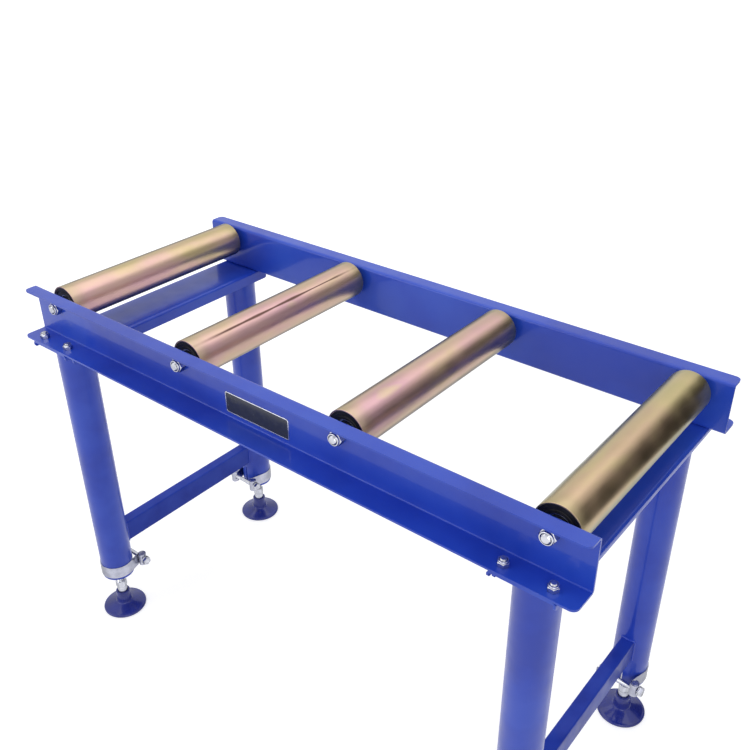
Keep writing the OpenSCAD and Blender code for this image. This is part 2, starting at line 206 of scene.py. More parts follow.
def relief(tree: Tree, place: Socket, size: float, depth: float, detail: float = 0.0) -> Socket:
    """Adds small bumps and hollows.

    Args:
        tree: The material's node tree.
        place: Coordinates in metres.
        size: Width of a bump in millimetres.
        depth: Its height in millimetres.
        detail: Levels of finer noise in the bumps.

    Returns:
        The normal.
    """
    inputs = {"Vector": place, "Scale": per_mm(size), "Detail": detail}
    noise = add_node(tree, "ShaderNodeTexNoise", inputs).outputs["Fac"]
    return add_node(tree, "ShaderNodeBump", {"Height": noise, "Distance": depth * MM}).outputs["Normal"]


@dataclass(frozen=True)
class Finish:
    """A finish of the stand, made once as a material and then shared."""

    name: str

    def shade(self, tree: Tree, place: Socket) -> Inputs:
        """Adds the finish's own nodes and says what goes into the shader.

        Args:
            tree: The material's node tree.
            place: Object coordinates, in metres.

        Returns:
            The inputs of the Principled shader.
        """
        raise NotImplementedError

    def material(self) -> bpy.types.Material:
        """Gives the finish's material, made on the first call.

        Returns:
            The material.
        """
        found = bpy.data.materials.get(self.name)
        if found:
            return found
        made = bpy.data.materials.new(self.name)
        made.use_nodes = True
        tree = made.node_tree
        tree.nodes.clear()
        place = add_node(tree, "ShaderNodeTexCoord").outputs["Object"]
        shader = add_node(tree, "ShaderNodeBsdfPrincipled", self.shade(tree, place))
        add_node(tree, "ShaderNodeOutputMaterial", {"Surface": shader.outputs["BSDF"]})
        return made


@dataclass(frozen=True)
class PowderCoat(Finish):
    """Gloss powder coat baked on steel.

    It gives the eye a deep even blue under a clear skin, with a faint orange peel that makes
    reflections swim, slow changes of depth where the coat lies thicker, and a little haze.
    """

    colour: str = "254AC6"
    thin: str = "2D53CC"
    thick: str = "1E40B8"
    blotch: float = 140.0
    haze: float = 22.0
    peel: float = 5.5
    peel_depth: float = 0.006
    roughness: float = 0.36
    gloss: float = 0.3
    coat: float = 0.38

    def shade(self, tree: Tree, place: Socket) -> Inputs:
        """Adds the coat's depth, haze and orange peel.

        Args:
            tree: The material's node tree.
            place: Object coordinates, in metres.

        Returns:
            The inputs of the Principled shader.
        """
        stops = [(0.34, self.thick), (0.5, self.colour), (0.66, self.thin)]
        return {
            "Base Color": clouds(tree, place, self.blotch, stops, 3.0),
            "Roughness": drift(tree, place, self.haze, self.roughness - 0.05, self.roughness + 0.06),
            "IOR": 1.5,
            "Specular IOR Level": self.gloss,
            "Coat Weight": self.coat,
            "Coat Roughness": 0.08,
            # Orange peel: real peel is 1 to 5 mm wide, drawn at its coarse end so that it shows.
            "Normal": relief(tree, place, self.peel, self.peel_depth),
        }


@dataclass(frozen=True)
class YellowPassivate(Finish):
    """Yellow chromate over zinc on a steel tube.

    It gives the eye a satin metal of tan and gold that turns mauve in broad soft bands, with a greener zone
    at the ends and the tube's own weld seam. Where the surface turns away, the film's change of hue is
    painted into its colour as an olive sheen, and along the outline a thin brown line is painted shade.
    """

    tints: tuple[str, ...] = ("BEAC84", "C6AA96", "C6A29E", "C09AA0", "C0AC8E")
    places: tuple[float, ...] = (0.30, 0.42, 0.54, 0.66, 0.78)
    # Colour of the olive sheen that is painted where the surface turns away.
    painted_olive_sheen: str = "B6AA84"
    # Colour of the painted shade along the outline.
    rim: str = "54483C"
    end: str = "A49C74"
    scorch: str = "5E4640"
    band: float = 50.0
    along: float = 0.34
    seam: float = 0.5
    seam_width: float = 6.0
    swell: float = 70.0
    around: float = 188.5
    stroke: float = 1.2
    stroke_along: float = 0.02
    stroke_depth: float = 0.004
    cloud: float = 30.0

    @staticmethod
    def distance(tree: Tree, value: Socket, middle: float) -> Socket:
        """Works out how far a coordinate lies from a middle, to either side.

        Args:
            tree: The material's node tree.
            value: The coordinate.
            middle: The middle.

        Returns:
            The distance.
        """
        less = add_node(tree, "ShaderNodeMath", {0: value, 1: middle}, operation="SUBTRACT").outputs[0]
        return add_node(tree, "ShaderNodeMath", {0: less}, operation="ABSOLUTE").outputs[0]

    def shade(self, tree: Tree, place: Socket) -> Inputs:
        """Adds the bands of the chromate, the seam and the drawn tube's fine lines.

        Args:
            tree: The material's node tree.
            place: Object coordinates, in metres.

        Returns:
            The inputs of the Principled shader.
        """
        # Bands: blotches of 50 mm, drawn out to three times that along the tube.
        drawn = add_node(tree, "ShaderNodeMapping", {"Vector": place, "Scale": (1.0, self.along, 1.0)})
        stops = list(zip(self.places, self.tints))
        tint = clouds(tree, drawn.outputs["Vector"], self.band, stops, 3.5)
        # The UV map runs once round the tube in U and once along it in V.
        way = add_node(tree, "ShaderNodeTexCoord").outputs["UV"]
        parts = add_node(tree, "ShaderNodeSeparateXYZ", {"Vector": way}).outputs
        off_seam = self.distance(tree, parts["X"], self.seam)
        off_middle = self.distance(tree, parts["Y"], 0.5)
        edge = add_node(tree, "ShaderNodeLayerWeight", {"Blend": 0.42}).outputs["Facing"]
        # The weld seam is a straight dark line that swells and thins along the tube.
        swell = drift(tree, place, self.swell, 0.45, 1.25)
        half = {0: swell, 1: self.seam_width / 2 / self.around}
        half = add_node(tree, "ShaderNodeMath", half, operation="MULTIPLY").outputs[0]
        ranges = {
            # Painted sheen: where the surface turns away from the eye, the colour turns olive. This is the
            # film's own change of hue with angle, drawn into the base colour.
            "painted_olive_sheen": {"Value": edge, "From Min": 0.35, "From Max": 0.9},
            # Painted shade: close to the outline, the colour turns to a thin brown line, a dark reflection
            # drawn into the film.
            "rim": {"Value": edge, "From Min": 0.56, "From Max": 0.74},
            # The last 25 mm at each end took a thicker film and look greener.
            "end": {"Value": off_middle, "From Min": 0.425, "From Max": 0.5, "To Max": 0.6},
            "line": {"Value": off_seam, "From Min": 0.0, "From Max": half, "To Min": 1.5, "To Max": 0.0},
            # The seam fades towards the ends.
            "fade": {"Value": off_middle, "From Min": 0.30, "From Max": 0.46, "To Min": 1.0, "To Max": 0.15},
        }
        share = {
            name: add_node(tree, "ShaderNodeMapRange", inputs).outputs["Result"]
            for name, inputs in ranges.items()
        }
        seam = {0: share["line"], 1: share["fade"]}
        seam = add_node(tree, "ShaderNodeMath", seam, operation="MULTIPLY").outputs[0]
        for factor, colour in (
            (share["painted_olive_sheen"], self.painted_olive_sheen),
            (share["rim"], self.rim),
            (share["end"], self.end),
            (seam, self.scorch),
        ):
            inputs = {"Factor": factor, COLOUR_A: tint, COLOUR_B: linear(colour)}
            tint = add_node(tree, "ShaderNodeMix", inputs, data_type="RGBA").outputs[COLOUR_OUT]
        inputs = {"Vector": place, "Scale": (1.0, self.stroke_along, 1.0)}
        strokes = add_node(tree, "ShaderNodeMapping", inputs)
        return {
            "Base Color": tint,
            "Metallic": 1.0,
            "Roughness": drift(tree, place, self.cloud, 0.30, 0.38),
            # Drawing lines along the tube: 0.6 mm apart, which is as coarse as the render can show.
            "Normal": relief(tree, strokes.outputs["Vector"], self.stroke, self.stroke_depth, 2.0),
        }


@dataclass(frozen=True)
class ZincPlate(Finish):
    """Bright zinc plate on steel.

    It gives the eye a cool silver with a satin grain and faint grey clouds from the plating bath. It also has
    painted shade: a deeper grey where the surface turns away, which draws the edges of small pieces.
    """

    light: str = "D2D4DC"
    dark: str = "BCBEC8"
    # Colour of the painted shade where the surface turns away.
    edge: str = "4E515E"
    cloud: float = 9.0
    grain: float = 1.2
    grain_depth: float = 0.0015
    low: float = 0.16
    high: float = 0.22

    def shade(self, tree: Tree, place: Socket) -> Inputs:
        """Adds the clouds, the painted shade of the turned-away parts and the grain.

        Args:
            tree: The material's node tree.
            place: Object coordinates, in metres.

        Returns:
            The inputs of the Principled shader.
        """
        tone = clouds(tree, place, self.cloud, [(0.36, self.dark), (0.6, self.light)], 1.0)
        # Painted shade: the colour turns to the deeper grey where the surface turns away from the eye.
        facing = add_node(tree, "ShaderNodeLayerWeight", {"Blend": 0.5}).outputs["Facing"]
        away = {"Value": facing, "From Min": 0.35, "From Max": 0.9, "To Max": 0.9}
        away = add_node(tree, "ShaderNodeMapRange", away).outputs["Result"]
        inputs = {"Factor": away, COLOUR_A: tone, COLOUR_B: linear(self.edge)}
        return {
            "Base Color": add_node(tree, "ShaderNodeMix", inputs, data_type="RGBA").outputs[COLOUR_OUT],
            "Metallic": 1.0,
            "Roughness": drift(tree, place, self.cloud / 2, self.low, self.high),
            "Normal": relief(tree, place, self.grain, self.grain_depth),
        }


@dataclass(frozen=True)
class MouldedNylon(Finish):
    """Nylon, injection moulded.

    It gives the eye a dense dull colour with a fine spark-eroded grain and soft broad highlights.
    """

    colour: str = "141416"
    worn: str = "1E1E21"
    cloud: float = 9.0
    roughness: float = 0.42
    grain: float = 0.4
    grain_depth: float = 0.02

    def shade(self, tree: Tree, place: Socket) -> Inputs:
        """Adds the moulded grain and a little change of depth.

        Args:
            tree: The material's node tree.
            place: Object coordinates, in metres.

        Returns:
            The inputs of the Principled shader.
        """
        low, high = self.roughness - 0.06, self.roughness + 0.08
        return {
            "Base Color": clouds(tree, place, self.cloud, [(0.4, self.colour), (0.65, self.worn)], 3.0),
            "Roughness": drift(tree, place, self.cloud, low, high, 3.0),
            "IOR": 1.53,
            "Normal": relief(tree, place, self.grain, self.grain_depth, 2.0),
        }


# Rails and channels: a deep, even blue under a clear skin.
FRAME_COAT = PowderCoat("gloss_powder_coat_on_folded_steel")
# Leg tubes: a slightly lighter blue, whose clouds are smaller.
LEG_COAT = PowderCoat(
    "gloss_powder_coat_on_tube", colour="2A4AC4", thin="3253CC", thick="2340B6", blotch=90.0
)
# Lower bars: the leg coat made a deeper and duller blue, with little of the clear skin, as painted shade for
# the shadow that the bars stand in under the frame.
BAR_COAT_WITH_PAINTED_SHADE = PowderCoat(
    "gloss_powder_coat_on_bar_with_painted_shade",
    colour="243FAE",
    thin="2B47B6",
    thick="1D35A0",
    blotch=70.0,
    gloss=0.1,
    coat=0.15,
)
# Feet: a wet dark navy over the coarser skin of a casting.
FOOT_COAT = PowderCoat(
    "gloss_enamel_on_cast_foot",
    colour="1A2888",
    thin="202F92",
    thick="15217A",
    blotch=30.0,
    peel_depth=0.014,
    roughness=0.28,
    coat=0.55,
)
# Rollers 1 to 3: tan and gold with mauve bands.
TUBE_PASSIVATE = YellowPassivate("yellow_passivate_on_zinc")
# Roller 4: the same film, more olive than mauve, with a paler painted shade along its outline.
OLIVE_PASSIVATE = YellowPassivate(
    "olive_passivate_on_zinc", tints=("B8AC7C", "C0AE84", "BEA488", "B8A080", "B8AE80"), rim="8E8C72"
)
# Nuts, bolts, axles and studs: bright silver with painted shade at the edges.
FASTENER_ZINC = ZincPlate("bright_zinc_on_fasteners")
# Clamp bands: a satin grey with a blue cast.
BAND_ZINC = ZincPlate(
    "clear_passivate_on_clamp_band", light="BDBFCD", dark="ABADBC", cloud=14.0, low=0.22, high=0.28
)
# Inner tubes: a pale and even satin silver.
TUBE_ZINC = ZincPlate(
    "clear_passivate_on_inner_tube", light="CDCFD7", dark="C1C3CC", cloud=45.0, low=0.22, high=0.26
)
# Bearing rings: nearly white ground faces with a soft shine, and a paler painted shade where they turn away.
RING_STEEL = ZincPlate(
    "ground_bearing_steel", light="E4E5E8", dark="D2D4D8", edge="9A9CA2", cloud=4.0, low=0.26, high=0.34
)
# Roller caps: nearly black, with a dull shine.
CAP_NYLON = MouldedNylon("black_moulded_nylon")
# Rings in the lock nuts: a deep blue.
LOCK_NYLON = MouldedNylon("blue_nylon_lock_ring", colour="1F2F6E", worn="2B3C80", roughness=0.36)
# Bearing seals: black with hardly any shine.
SEAL_RUBBER = MouldedNylon("black_seal_rubber", colour="101012", worn="18181A", roughness=0.55)
# The bare plate's field: a smooth dark grey that mirrors softly.
PLATE_FIELD = MouldedNylon(
    "dark_printed_plastic_plate_field", colour="2A2F3C", worn="30343F", roughness=0.2, grain_depth=0.001
)
# The bare plate's border: a bright polished line.
PLATE_METAL = ZincPlate(
    "polished_plate_border", light="E2E3E6", dark="CBCDD2", cloud=5.0, low=0.12, high=0.22
)


# ---------------------------------------------------------------- surfaces


class Patchwork:
    """Grids of points in millimetres that are sewn together into one mesh.

    Points closer than sewing, in metres, become one, and edges shorter than speck are dissolved.
    Folded sheet stays sharp from sheet_crease and gets rounded edges from bevel_from, in degrees.
    """

    sewing = 2e-7
    speck = 1e-7
    sheet_crease = 60.0
    bevel_from = 50.0

    def __init__(self) -> None:
        """Starts with no grids."""
        self.points: list[np.ndarray] = []
        self.ways: list[np.ndarray] = []
        self.quads: list[np.ndarray] = []
        self.tones: list[np.ndarray] = []
        self.count = 0

    def grid(self, points: np.ndarray, tone: int = 0, flip: bool = False) -> "Patchwork":
        """Adds a grid; its UV map runs from 0 to 1 along its columns and rows.

        Args:
            points: Rows by columns by three, in millimetres.
            tone: Number of the finish that its faces take.
            flip: Turns its faces round.

        Returns:
            The patchwork itself.
        """
        rows, columns = points.shape[:2]
        index = np.arange(rows * columns).reshape(rows, columns) + self.count
        corners = [index[:-1, :-1], index[1:, :-1], index[1:, 1:], index[:-1, 1:]]
        quads = np.stack(corners, axis=-1).reshape(-1, 4)
        self.quads.append(quads[:, ::-1] if flip else quads)
        self.points.append(points.reshape(-1, 3))
        u, v = np.meshgrid(np.linspace(0, 1, columns), np.linspace(0, 1, rows))
        self.ways.append(np.stack([u, v], axis=-1).reshape(-1, 2))
        self.tones.append(np.full(len(quads), tone))
        self.count += rows * columns
        return self

    def lathe(
        self,
        profile: Profile,
        origin: Vector3,
        along: Vector3 = (0, 0, 1),
        across: Vector3 = (1, 0, 0),
        columns: int = Columns.FASTENER,
        flats: float = 0.0,
        tone: int = 0,
    ) -> "Patchwork":
        """Adds a turned surface in its place.

        Args:
            profile: Radius and height of each step, in millimetres.
            origin: Where the profile's heights start.
            along: Where its axis points.
            across: Where its first column lies.
            columns: Columns round the axis.
            flats: Width across the flats of a hexagon, or 0 for a round surface.
            tone: Number of the finish that its faces take.

        Returns:
            The patchwork itself.
        """
        return self.grid(placed(turned(profile, columns, flats), origin, along, across), tone)

    def sheet(
        self,
        name: str,
        finish: Finish,
        node: str,
        slot: Slot,
        wall: float,
        round_edges: float,
        wall_side: float = -1.0,
    ) -> bpy.types.Object:
        """Makes the grids, which don't close, a piece of sheet or tube of the frame.

        Args:
            name: Name of the piece.
            finish: Its finish.
            node: The CAD node that it stands for.
            slot: The record's material slot.
            wall: Its thickness, in millimetres.
            round_edges: Radius of its rounded edges, in millimetres.
            wall_side: Where the wall goes: -1 behind the faces, 0 to both sides.

        Returns:
            The piece.
        """
        crease = self.sheet_crease
        return self.piece(name, [finish], "frame", (node,), slot, wall, wall_side, round_edges, crease, False)

    def piece(
        self,
        name: str,
        finishes: list[Finish],
        body: str,
        replaces: tuple[str, ...] = (),
        slot: Slot | None = None,
        wall: float = 0.0,
        wall_side: float = -1.0,
        round_edges: float = 0.0,
        crease: float = 32.0,
        closed: bool = True,
    ) -> bpy.types.Object:
        """Sews the grids into a mesh, dresses it and puts it on its body.

        Args:
            name: Name of the piece.
            finishes: Its finishes, in the order of the tones.
            body: The CAD body it moves with.
            replaces: CAD nodes that it stands for.
            slot: The record's material slot; not used.
            wall: Thickness that a sheet gets, in millimetres, or 0.
            wall_side: Where the wall goes: -1 behind the faces, 0 to both sides.
            round_edges: Radius of the sheet's rounded edges, in millimetres, or 0.
            crease: Angle in degrees from which an edge stays sharp.
            closed: Whether the grids close; if they do, a piece that is inside out gets turned round.

        Returns:
            The piece.
        """
        points = np.concatenate(self.points) * MM
        quads = np.concatenate(self.quads)
        ways = np.concatenate(self.ways)
        mesh = bpy.data.meshes.new(name)
        mesh.vertices.add(len(points))
        mesh.vertices.foreach_set("co", points.astype(np.float32).ravel())
        mesh.loops.add(quads.size)
        mesh.loops.foreach_set("vertex_index", quads.astype(np.int32).ravel())
        mesh.polygons.add(len(quads))
        mesh.polygons.foreach_set("loop_start", np.arange(0, quads.size, 4, dtype=np.int32))
        mesh.polygons.foreach_set("material_index", np.concatenate(self.tones).astype(np.int32))
        mesh.update(calc_edges=True)
        corner_ways = ways[quads.ravel()].astype(np.float32)
        mesh.uv_layers.new(name="UVMap").data.foreach_set("uv", corner_ways.ravel())
        sewn = bmesh.new()
        sewn.from_mesh(mesh)
        bmesh.ops.remove_doubles(sewn, verts=sewn.verts, dist=self.sewing)
        bmesh.ops.dissolve_degenerate(sewn, edges=sewn.edges, dist=self.speck)
        if closed and sewn.calc_volume(signed=True) < 0:
            bmesh.ops.reverse_faces(sewn, faces=sewn.faces)
        sewn.to_mesh(mesh)
        sewn.free()
        for finish in finishes:
            mesh.materials.append(finish.material())
        mesh.polygons.foreach_set("use_smooth", np.ones(len(mesh.polygons), dtype=bool))
        mesh.set_sharp_from_angle(angle=math.radians(crease))
        made = bpy.data.objects.new(name, mesh)
        bpy.context.scene.collection.objects.link(made)
        if wall:
            solid = made.modifiers.new("wall", "SOLIDIFY")
            solid.thickness = wall * MM
            solid.offset = wall_side
            solid.use_even_offset = True
            solid.use_quality_normals = True
        if round_edges:
            edge = made.modifiers.new("rounded_edges", "BEVEL")
            edge.width = round_edges * MM
            edge.segments = 3
            edge.limit_method = "ANGLE"
            edge.angle_limit = math.radians(self.bevel_from)
            edge.harden_normals = True
        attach(made, body)
        if replaces:
            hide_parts(*replaces)
        LOG.info("%s: %d faces on %s", name, len(mesh.polygons), body)
        return made


def turned(profile: Profile, columns: int = Columns.FASTENER, flats: float = 0.0) -> np.ndarray:
    """Works out a turned surface about Z, or one whose sides are milled to a hexagon.

    A point at angle a and profile step k lies at (r cos a, r sin a, h). r is the profile's radius,
    or, on a hexagon, the smaller of that and half the flats over cos(a mod 60 degrees - 30 degrees).
    Every profile runs outwards below, up, and inwards above, so that all faces of a piece agree.

    Args:
        profile: Radius and height of each step, in millimetres.
        columns: Columns round the axis.
        flats: Width across the flats, or 0 for a round piece.

    Returns:
        The grid of points.
    """
    profile = np.asarray(profile, float)
    angle = np.linspace(0, TURN, columns + 1)
    radius = np.repeat(profile[:, :1], columns + 1, axis=1)
    if flats:
        radius = np.minimum(radius, flats / 2 / np.cos(angle % (math.pi / 3) - math.pi / 6)[None, :])
    height = np.repeat(profile[:, 1:2], columns + 1, axis=1)
    points = np.stack([radius * np.cos(angle), radius * np.sin(angle), height], axis=-1)
    points[:, -1] = points[:, 0]
    return points


def hexagon_corner(flats: float) -> float:
    """Gives how far a hexagon's corner is from its middle."""
    return flats / 2 / math.cos(math.pi / 6)


def shoulder(radius: float, height: float, flats: float) -> np.ndarray:
    """Works out the flat ring between a circle and the hexagon that stands inside it.

    Args:
        radius: The circle's radius, which is also where the hexagon's corners end.
        height: Height of the ring.
        flats: Width across the hexagon's flats.

    Returns:
        The grid of points, a row of the circle and a row of the hexagon.
    """
    level = [(radius, height)]
    return np.concatenate([turned(level), turned(level, flats=flats)])


def threaded(radius: float, low: float, high: float, pitch: float) -> np.ndarray:
    """Works out a screw thread about Z.

    At angle a and height h the radius falls below the crest by a triangle wave of
    h / pitch - a / one turn, times 0.54 of the pitch, and the first and last half turn fade out.

    Args:
        radius: Crest radius in millimetres.
        low: Height of the thread's start.
        high: Height of its end.
        pitch: Distance between two crests.

    Returns:
        The grid of points.
    """
    steps = max(2, int(round((high - low) / pitch * 6)))
    height = np.linspace(low, high, steps + 1)[:, None]
    angle = np.linspace(0, TURN, Columns.FASTENER + 1)[None, :]
    wave = np.abs(((height / pitch - angle / TURN) % 1.0) * 2 - 1)
    fade = np.clip(np.minimum(height - low, high - height) / (pitch / 2), 0, 1)
    r = radius - 0.54 * pitch * wave * fade
    points = np.stack([r * np.cos(angle), r * np.sin(angle), height + 0 * angle], axis=-1)
    points[:, -1] = points[:, 0]
    return points


def arc(centre: tuple[float, float], radius: float, start: float, end: float, steps: int) -> np.ndarray:
    """Gives points of a circular arc in a plane.

    Args:
        centre: The arc's centre.
        radius: Its radius.
        start: Angle of the first point in degrees.
        end: Angle of the last point in degrees.
        steps: Number of chords.

    Returns:
        The points, one a row.
    """
    angle = np.radians(np.linspace(start, end, steps + 1))
    return np.array(centre) + radius * np.stack([np.cos(angle), np.sin(angle)], axis=-1)


def straight(start: tuple[float, float], end: tuple[float, float], steps: int) -> np.ndarray:
    """Gives evenly spaced points of a line in a plane.

    Args:
        start: The first point.
        end: The last point.
        steps: Number of pieces.

    Returns:
        The points, one a row.
    """
    share = np.linspace(0, 1, steps + 1)[:, None]
    return np.array(start, float) * (1 - share) + np.array(end, float) * share


def placed(
    points: np.ndarray, origin: Vector3, along: Vector3 = (0, 0, 1), across: Vector3 = (1, 0, 0)
) -> np.ndarray:
    """Puts points made about Z in their place.

    Args:
        points: Points whose last axis is X, Y and Z.
        origin: Where their origin goes.
        along: Where their Z points.
        across: Where their X points.

    Returns:
        The placed points.
    """
    z, x = np.array(along, float), np.array(across, float)
    return points @ np.stack([x, np.cross(z, x), z]) + np.array(origin, float)


def rounded_tip(width: float, radius: float, distance: np.ndarray) -> np.ndarray:
    """Gives how far a flange reaches near its rounded corner.

    Inside the corner the reach is the width less the radius plus the height of the circle there.

    Args:
        width: The flange's full reach.
        radius: The corner's radius.
        distance: Distances from the sheet's end.

    Returns:
        The reach at each distance.
    """
    inside = np.clip(radius - distance, 0, radius)
    return width - radius + np.sqrt(radius**2 - inside**2)


def from_both_ends(half: np.ndarray, length: float, middle: int) -> np.ndarray:
    """Gives stations along a sheet, close together at both ends.

    Args:
        half: Distances from an end, from 0 upwards.
        length: The sheet's length.
        middle: Number of stations between the two ends' last ones.

    Returns:
        Stations from minus half the length to plus half of it.
    """
    between = np.linspace(half[-1], length - half[-1], middle + 2)[1:-1]
    return np.concatenate([half, between, length - half[::-1]]) - length / 2


def bead(
    centres: np.ndarray, first: np.ndarray, second: np.ndarray, size: float, pitch: float, length: float
) -> np.ndarray:
    """Works out a weld bead carried along a closed path.

    Round each point of the path runs a circle in the plane of its two directions. Its radius is the
    bead's size times 1 plus a small wave, one crest for every ripple of the weld.

    Args:
        centres: Points of the closed path, the last the same as the first.
        first: Unit direction of angle 0 at each point.
        second: Unit direction of angle 90 degrees at each point.
        size: Radius of the bead.
        pitch: Distance between two ripples.
        length: Length of the path.

    Returns:
        The grid of points.
    """
    share = np.linspace(0, 1, len(centres))[:, None, None]
    angle = np.linspace(0, TURN, 17)[None, :, None]
    ripples = round(length / pitch)
    reach = size * (1 + 0.07 * np.sin(TURN * ripples * share + 1.3 * np.cos(angle)))
    points = centres[:, None] + reach * (np.cos(angle) * first[:, None] + np.sin(angle) * second[:, None])
    points[:, -1] = points[:, 0]
    points[-1] = points[0]
    return points


# ---------------------------------------------------------------- sub-assemblies


@dataclass
class FoldedRails:
    """The two rails, each one sheet folded to a channel that opens outwards."""

    length: float = 1000.0
    web: float = 189.0
    low: float = 588.0
    height: float = 78.0
    sheet: float = 3.0
    top_flange: float = 25.0
    bottom_flange: float = 40.0
    bend: float = 5.0
    top_corner: float = 8.0
    bottom_corner: float = 9.0
    edge: float = 0.5

    def skin(self, side: Side) -> np.ndarray:
        """Works out the face that the sheet shows to the rollers.

        A section (reach from the web, height) of flange, bend, web, bend and flange is carried
        along X, and each flange's reach shrinks along its rounded corner.

        Args:
            side: Which rail.

        Returns:
            The grid of points.
        """
        near = self.bottom_corner * (1 - np.cos(np.linspace(0, math.pi / 2, 10)))
        x = from_both_ends(near, self.length, 24)
        distance = self.length / 2 - np.abs(x)
        top = rounded_tip(self.top_flange, self.top_corner, distance)
        bottom = rounded_tip(self.bottom_flange, self.bottom_corner, distance)
        share = np.linspace(0, 1, 6)
        b, h = self.bend, self.height
        fixed = np.concatenate(
            [
                arc((b, h - b), b, 90, 180, 8)[1:-1],
                straight((0, h - b), (0, b), 6),
                arc((b, b), b, 180, 270, 8)[1:-1],
            ]
        )
        upper = top[:, None] + (b - top[:, None]) * share
        lower = b + (bottom[:, None] - b) * share
        middle = np.repeat(fixed[None, :, 0], len(x), axis=0)
        reach = np.concatenate([upper, middle, lower], axis=1)
        z = np.concatenate([np.full(6, h), fixed[:, 1], np.zeros(6)])
        y = side.value * (self.web + reach)
        return np.stack([x[:, None] + 0 * y, y, self.low + z[None, :] + 0 * y], axis=-1)

    def build(self) -> None:
        """Makes both rails."""
        for side in Side:
            name = f"rail_{side.name.lower()}"
            patch = Patchwork().grid(self.skin(side), flip=side is Side.BACK)
            patch.sheet(f"folded_{name}", FRAME_COAT, name, Slot.FRAME_PAINT, self.sheet, self.edge)


@dataclass
class CrossChannels:
    """The folded channels under the rails' ends, with a deep inner lip that is cut back at its ends."""

    leg_x: float = 434.0
    top: float = 588.0
    width: float = 86.0
    length: float = 458.0
    sheet: float = 3.0
    bend: float = 5.0
    outer_lip: float = 10.5
    inner_lip: float = 21.0
    step_depth: float = 10.0
    step_length: float = 13.0
    corner: float = 4.0
    edge: float = 0.5

    def build(self) -> None:
        """Makes both channels: a grid with the short lips and one for the deep part of the inner lip.

        In the first a section of lip, bend, top, bend and lip is carried along Y, and the lips' depth
        follows their rounded corners. The second carries on from the inner lip's step.
        """
        near = self.corner * (1 - np.cos(np.linspace(0, math.pi / 2, 7)))
        stations = np.concatenate([near, [8.0, self.step_length], self.step_length + near[1:]])
        y = from_both_ends(stations, self.length, 14)
        distance = self.length / 2 - np.abs(y)
        b, w = self.bend, self.width / 2
        inner = rounded_tip(self.step_depth, self.corner, distance)
        outer = rounded_tip(self.outer_lip, self.corner, distance)
        share = np.linspace(0, 1, 4)
        fixed = np.concatenate(
            [
                arc((-w + b, -b), b, 180, 90, 8)[1:-1],
                straight((-w + b, 0), (w - b, 0), 8),
                arc((w - b, -b), b, 90, 0, 8)[1:-1],
            ]
        )
        across = np.concatenate([np.full(4, -w), fixed[:, 0], np.full(4, w)])
        left = -(inner[:, None] + (b - inner[:, None]) * share)
        right = -(b + (outer[:, None] - b) * share)
        level = np.concatenate([left, np.repeat(fixed[None, :, 1], len(y), axis=0), right], axis=1)
        deep = distance >= self.step_length - 1e-6
        tip = rounded_tip(self.inner_lip, self.corner, distance[deep] - self.step_length)
        below = -(tip[:, None] + (self.step_depth - tip[:, None]) * np.linspace(0, 1, 4))
        for name, sign in (("left", -1), ("right", 1)):
            patch = Patchwork()
            x = sign * (self.leg_x + across[None, :] + 0 * level)
            patch.grid(np.stack([x, y[:, None] + 0 * level, self.top + level], axis=-1), flip=sign > 0)
            x = np.full_like(below, sign * (self.leg_x - w))
            patch.grid(np.stack([x, y[deep][:, None] + 0 * below, self.top + below], axis=-1), flip=sign > 0)
            node = f"cross_channel_{name}"
            patch.sheet(f"folded_channel_{name}", FRAME_COAT, node, Slot.FRAME_PAINT, self.sheet, self.edge)


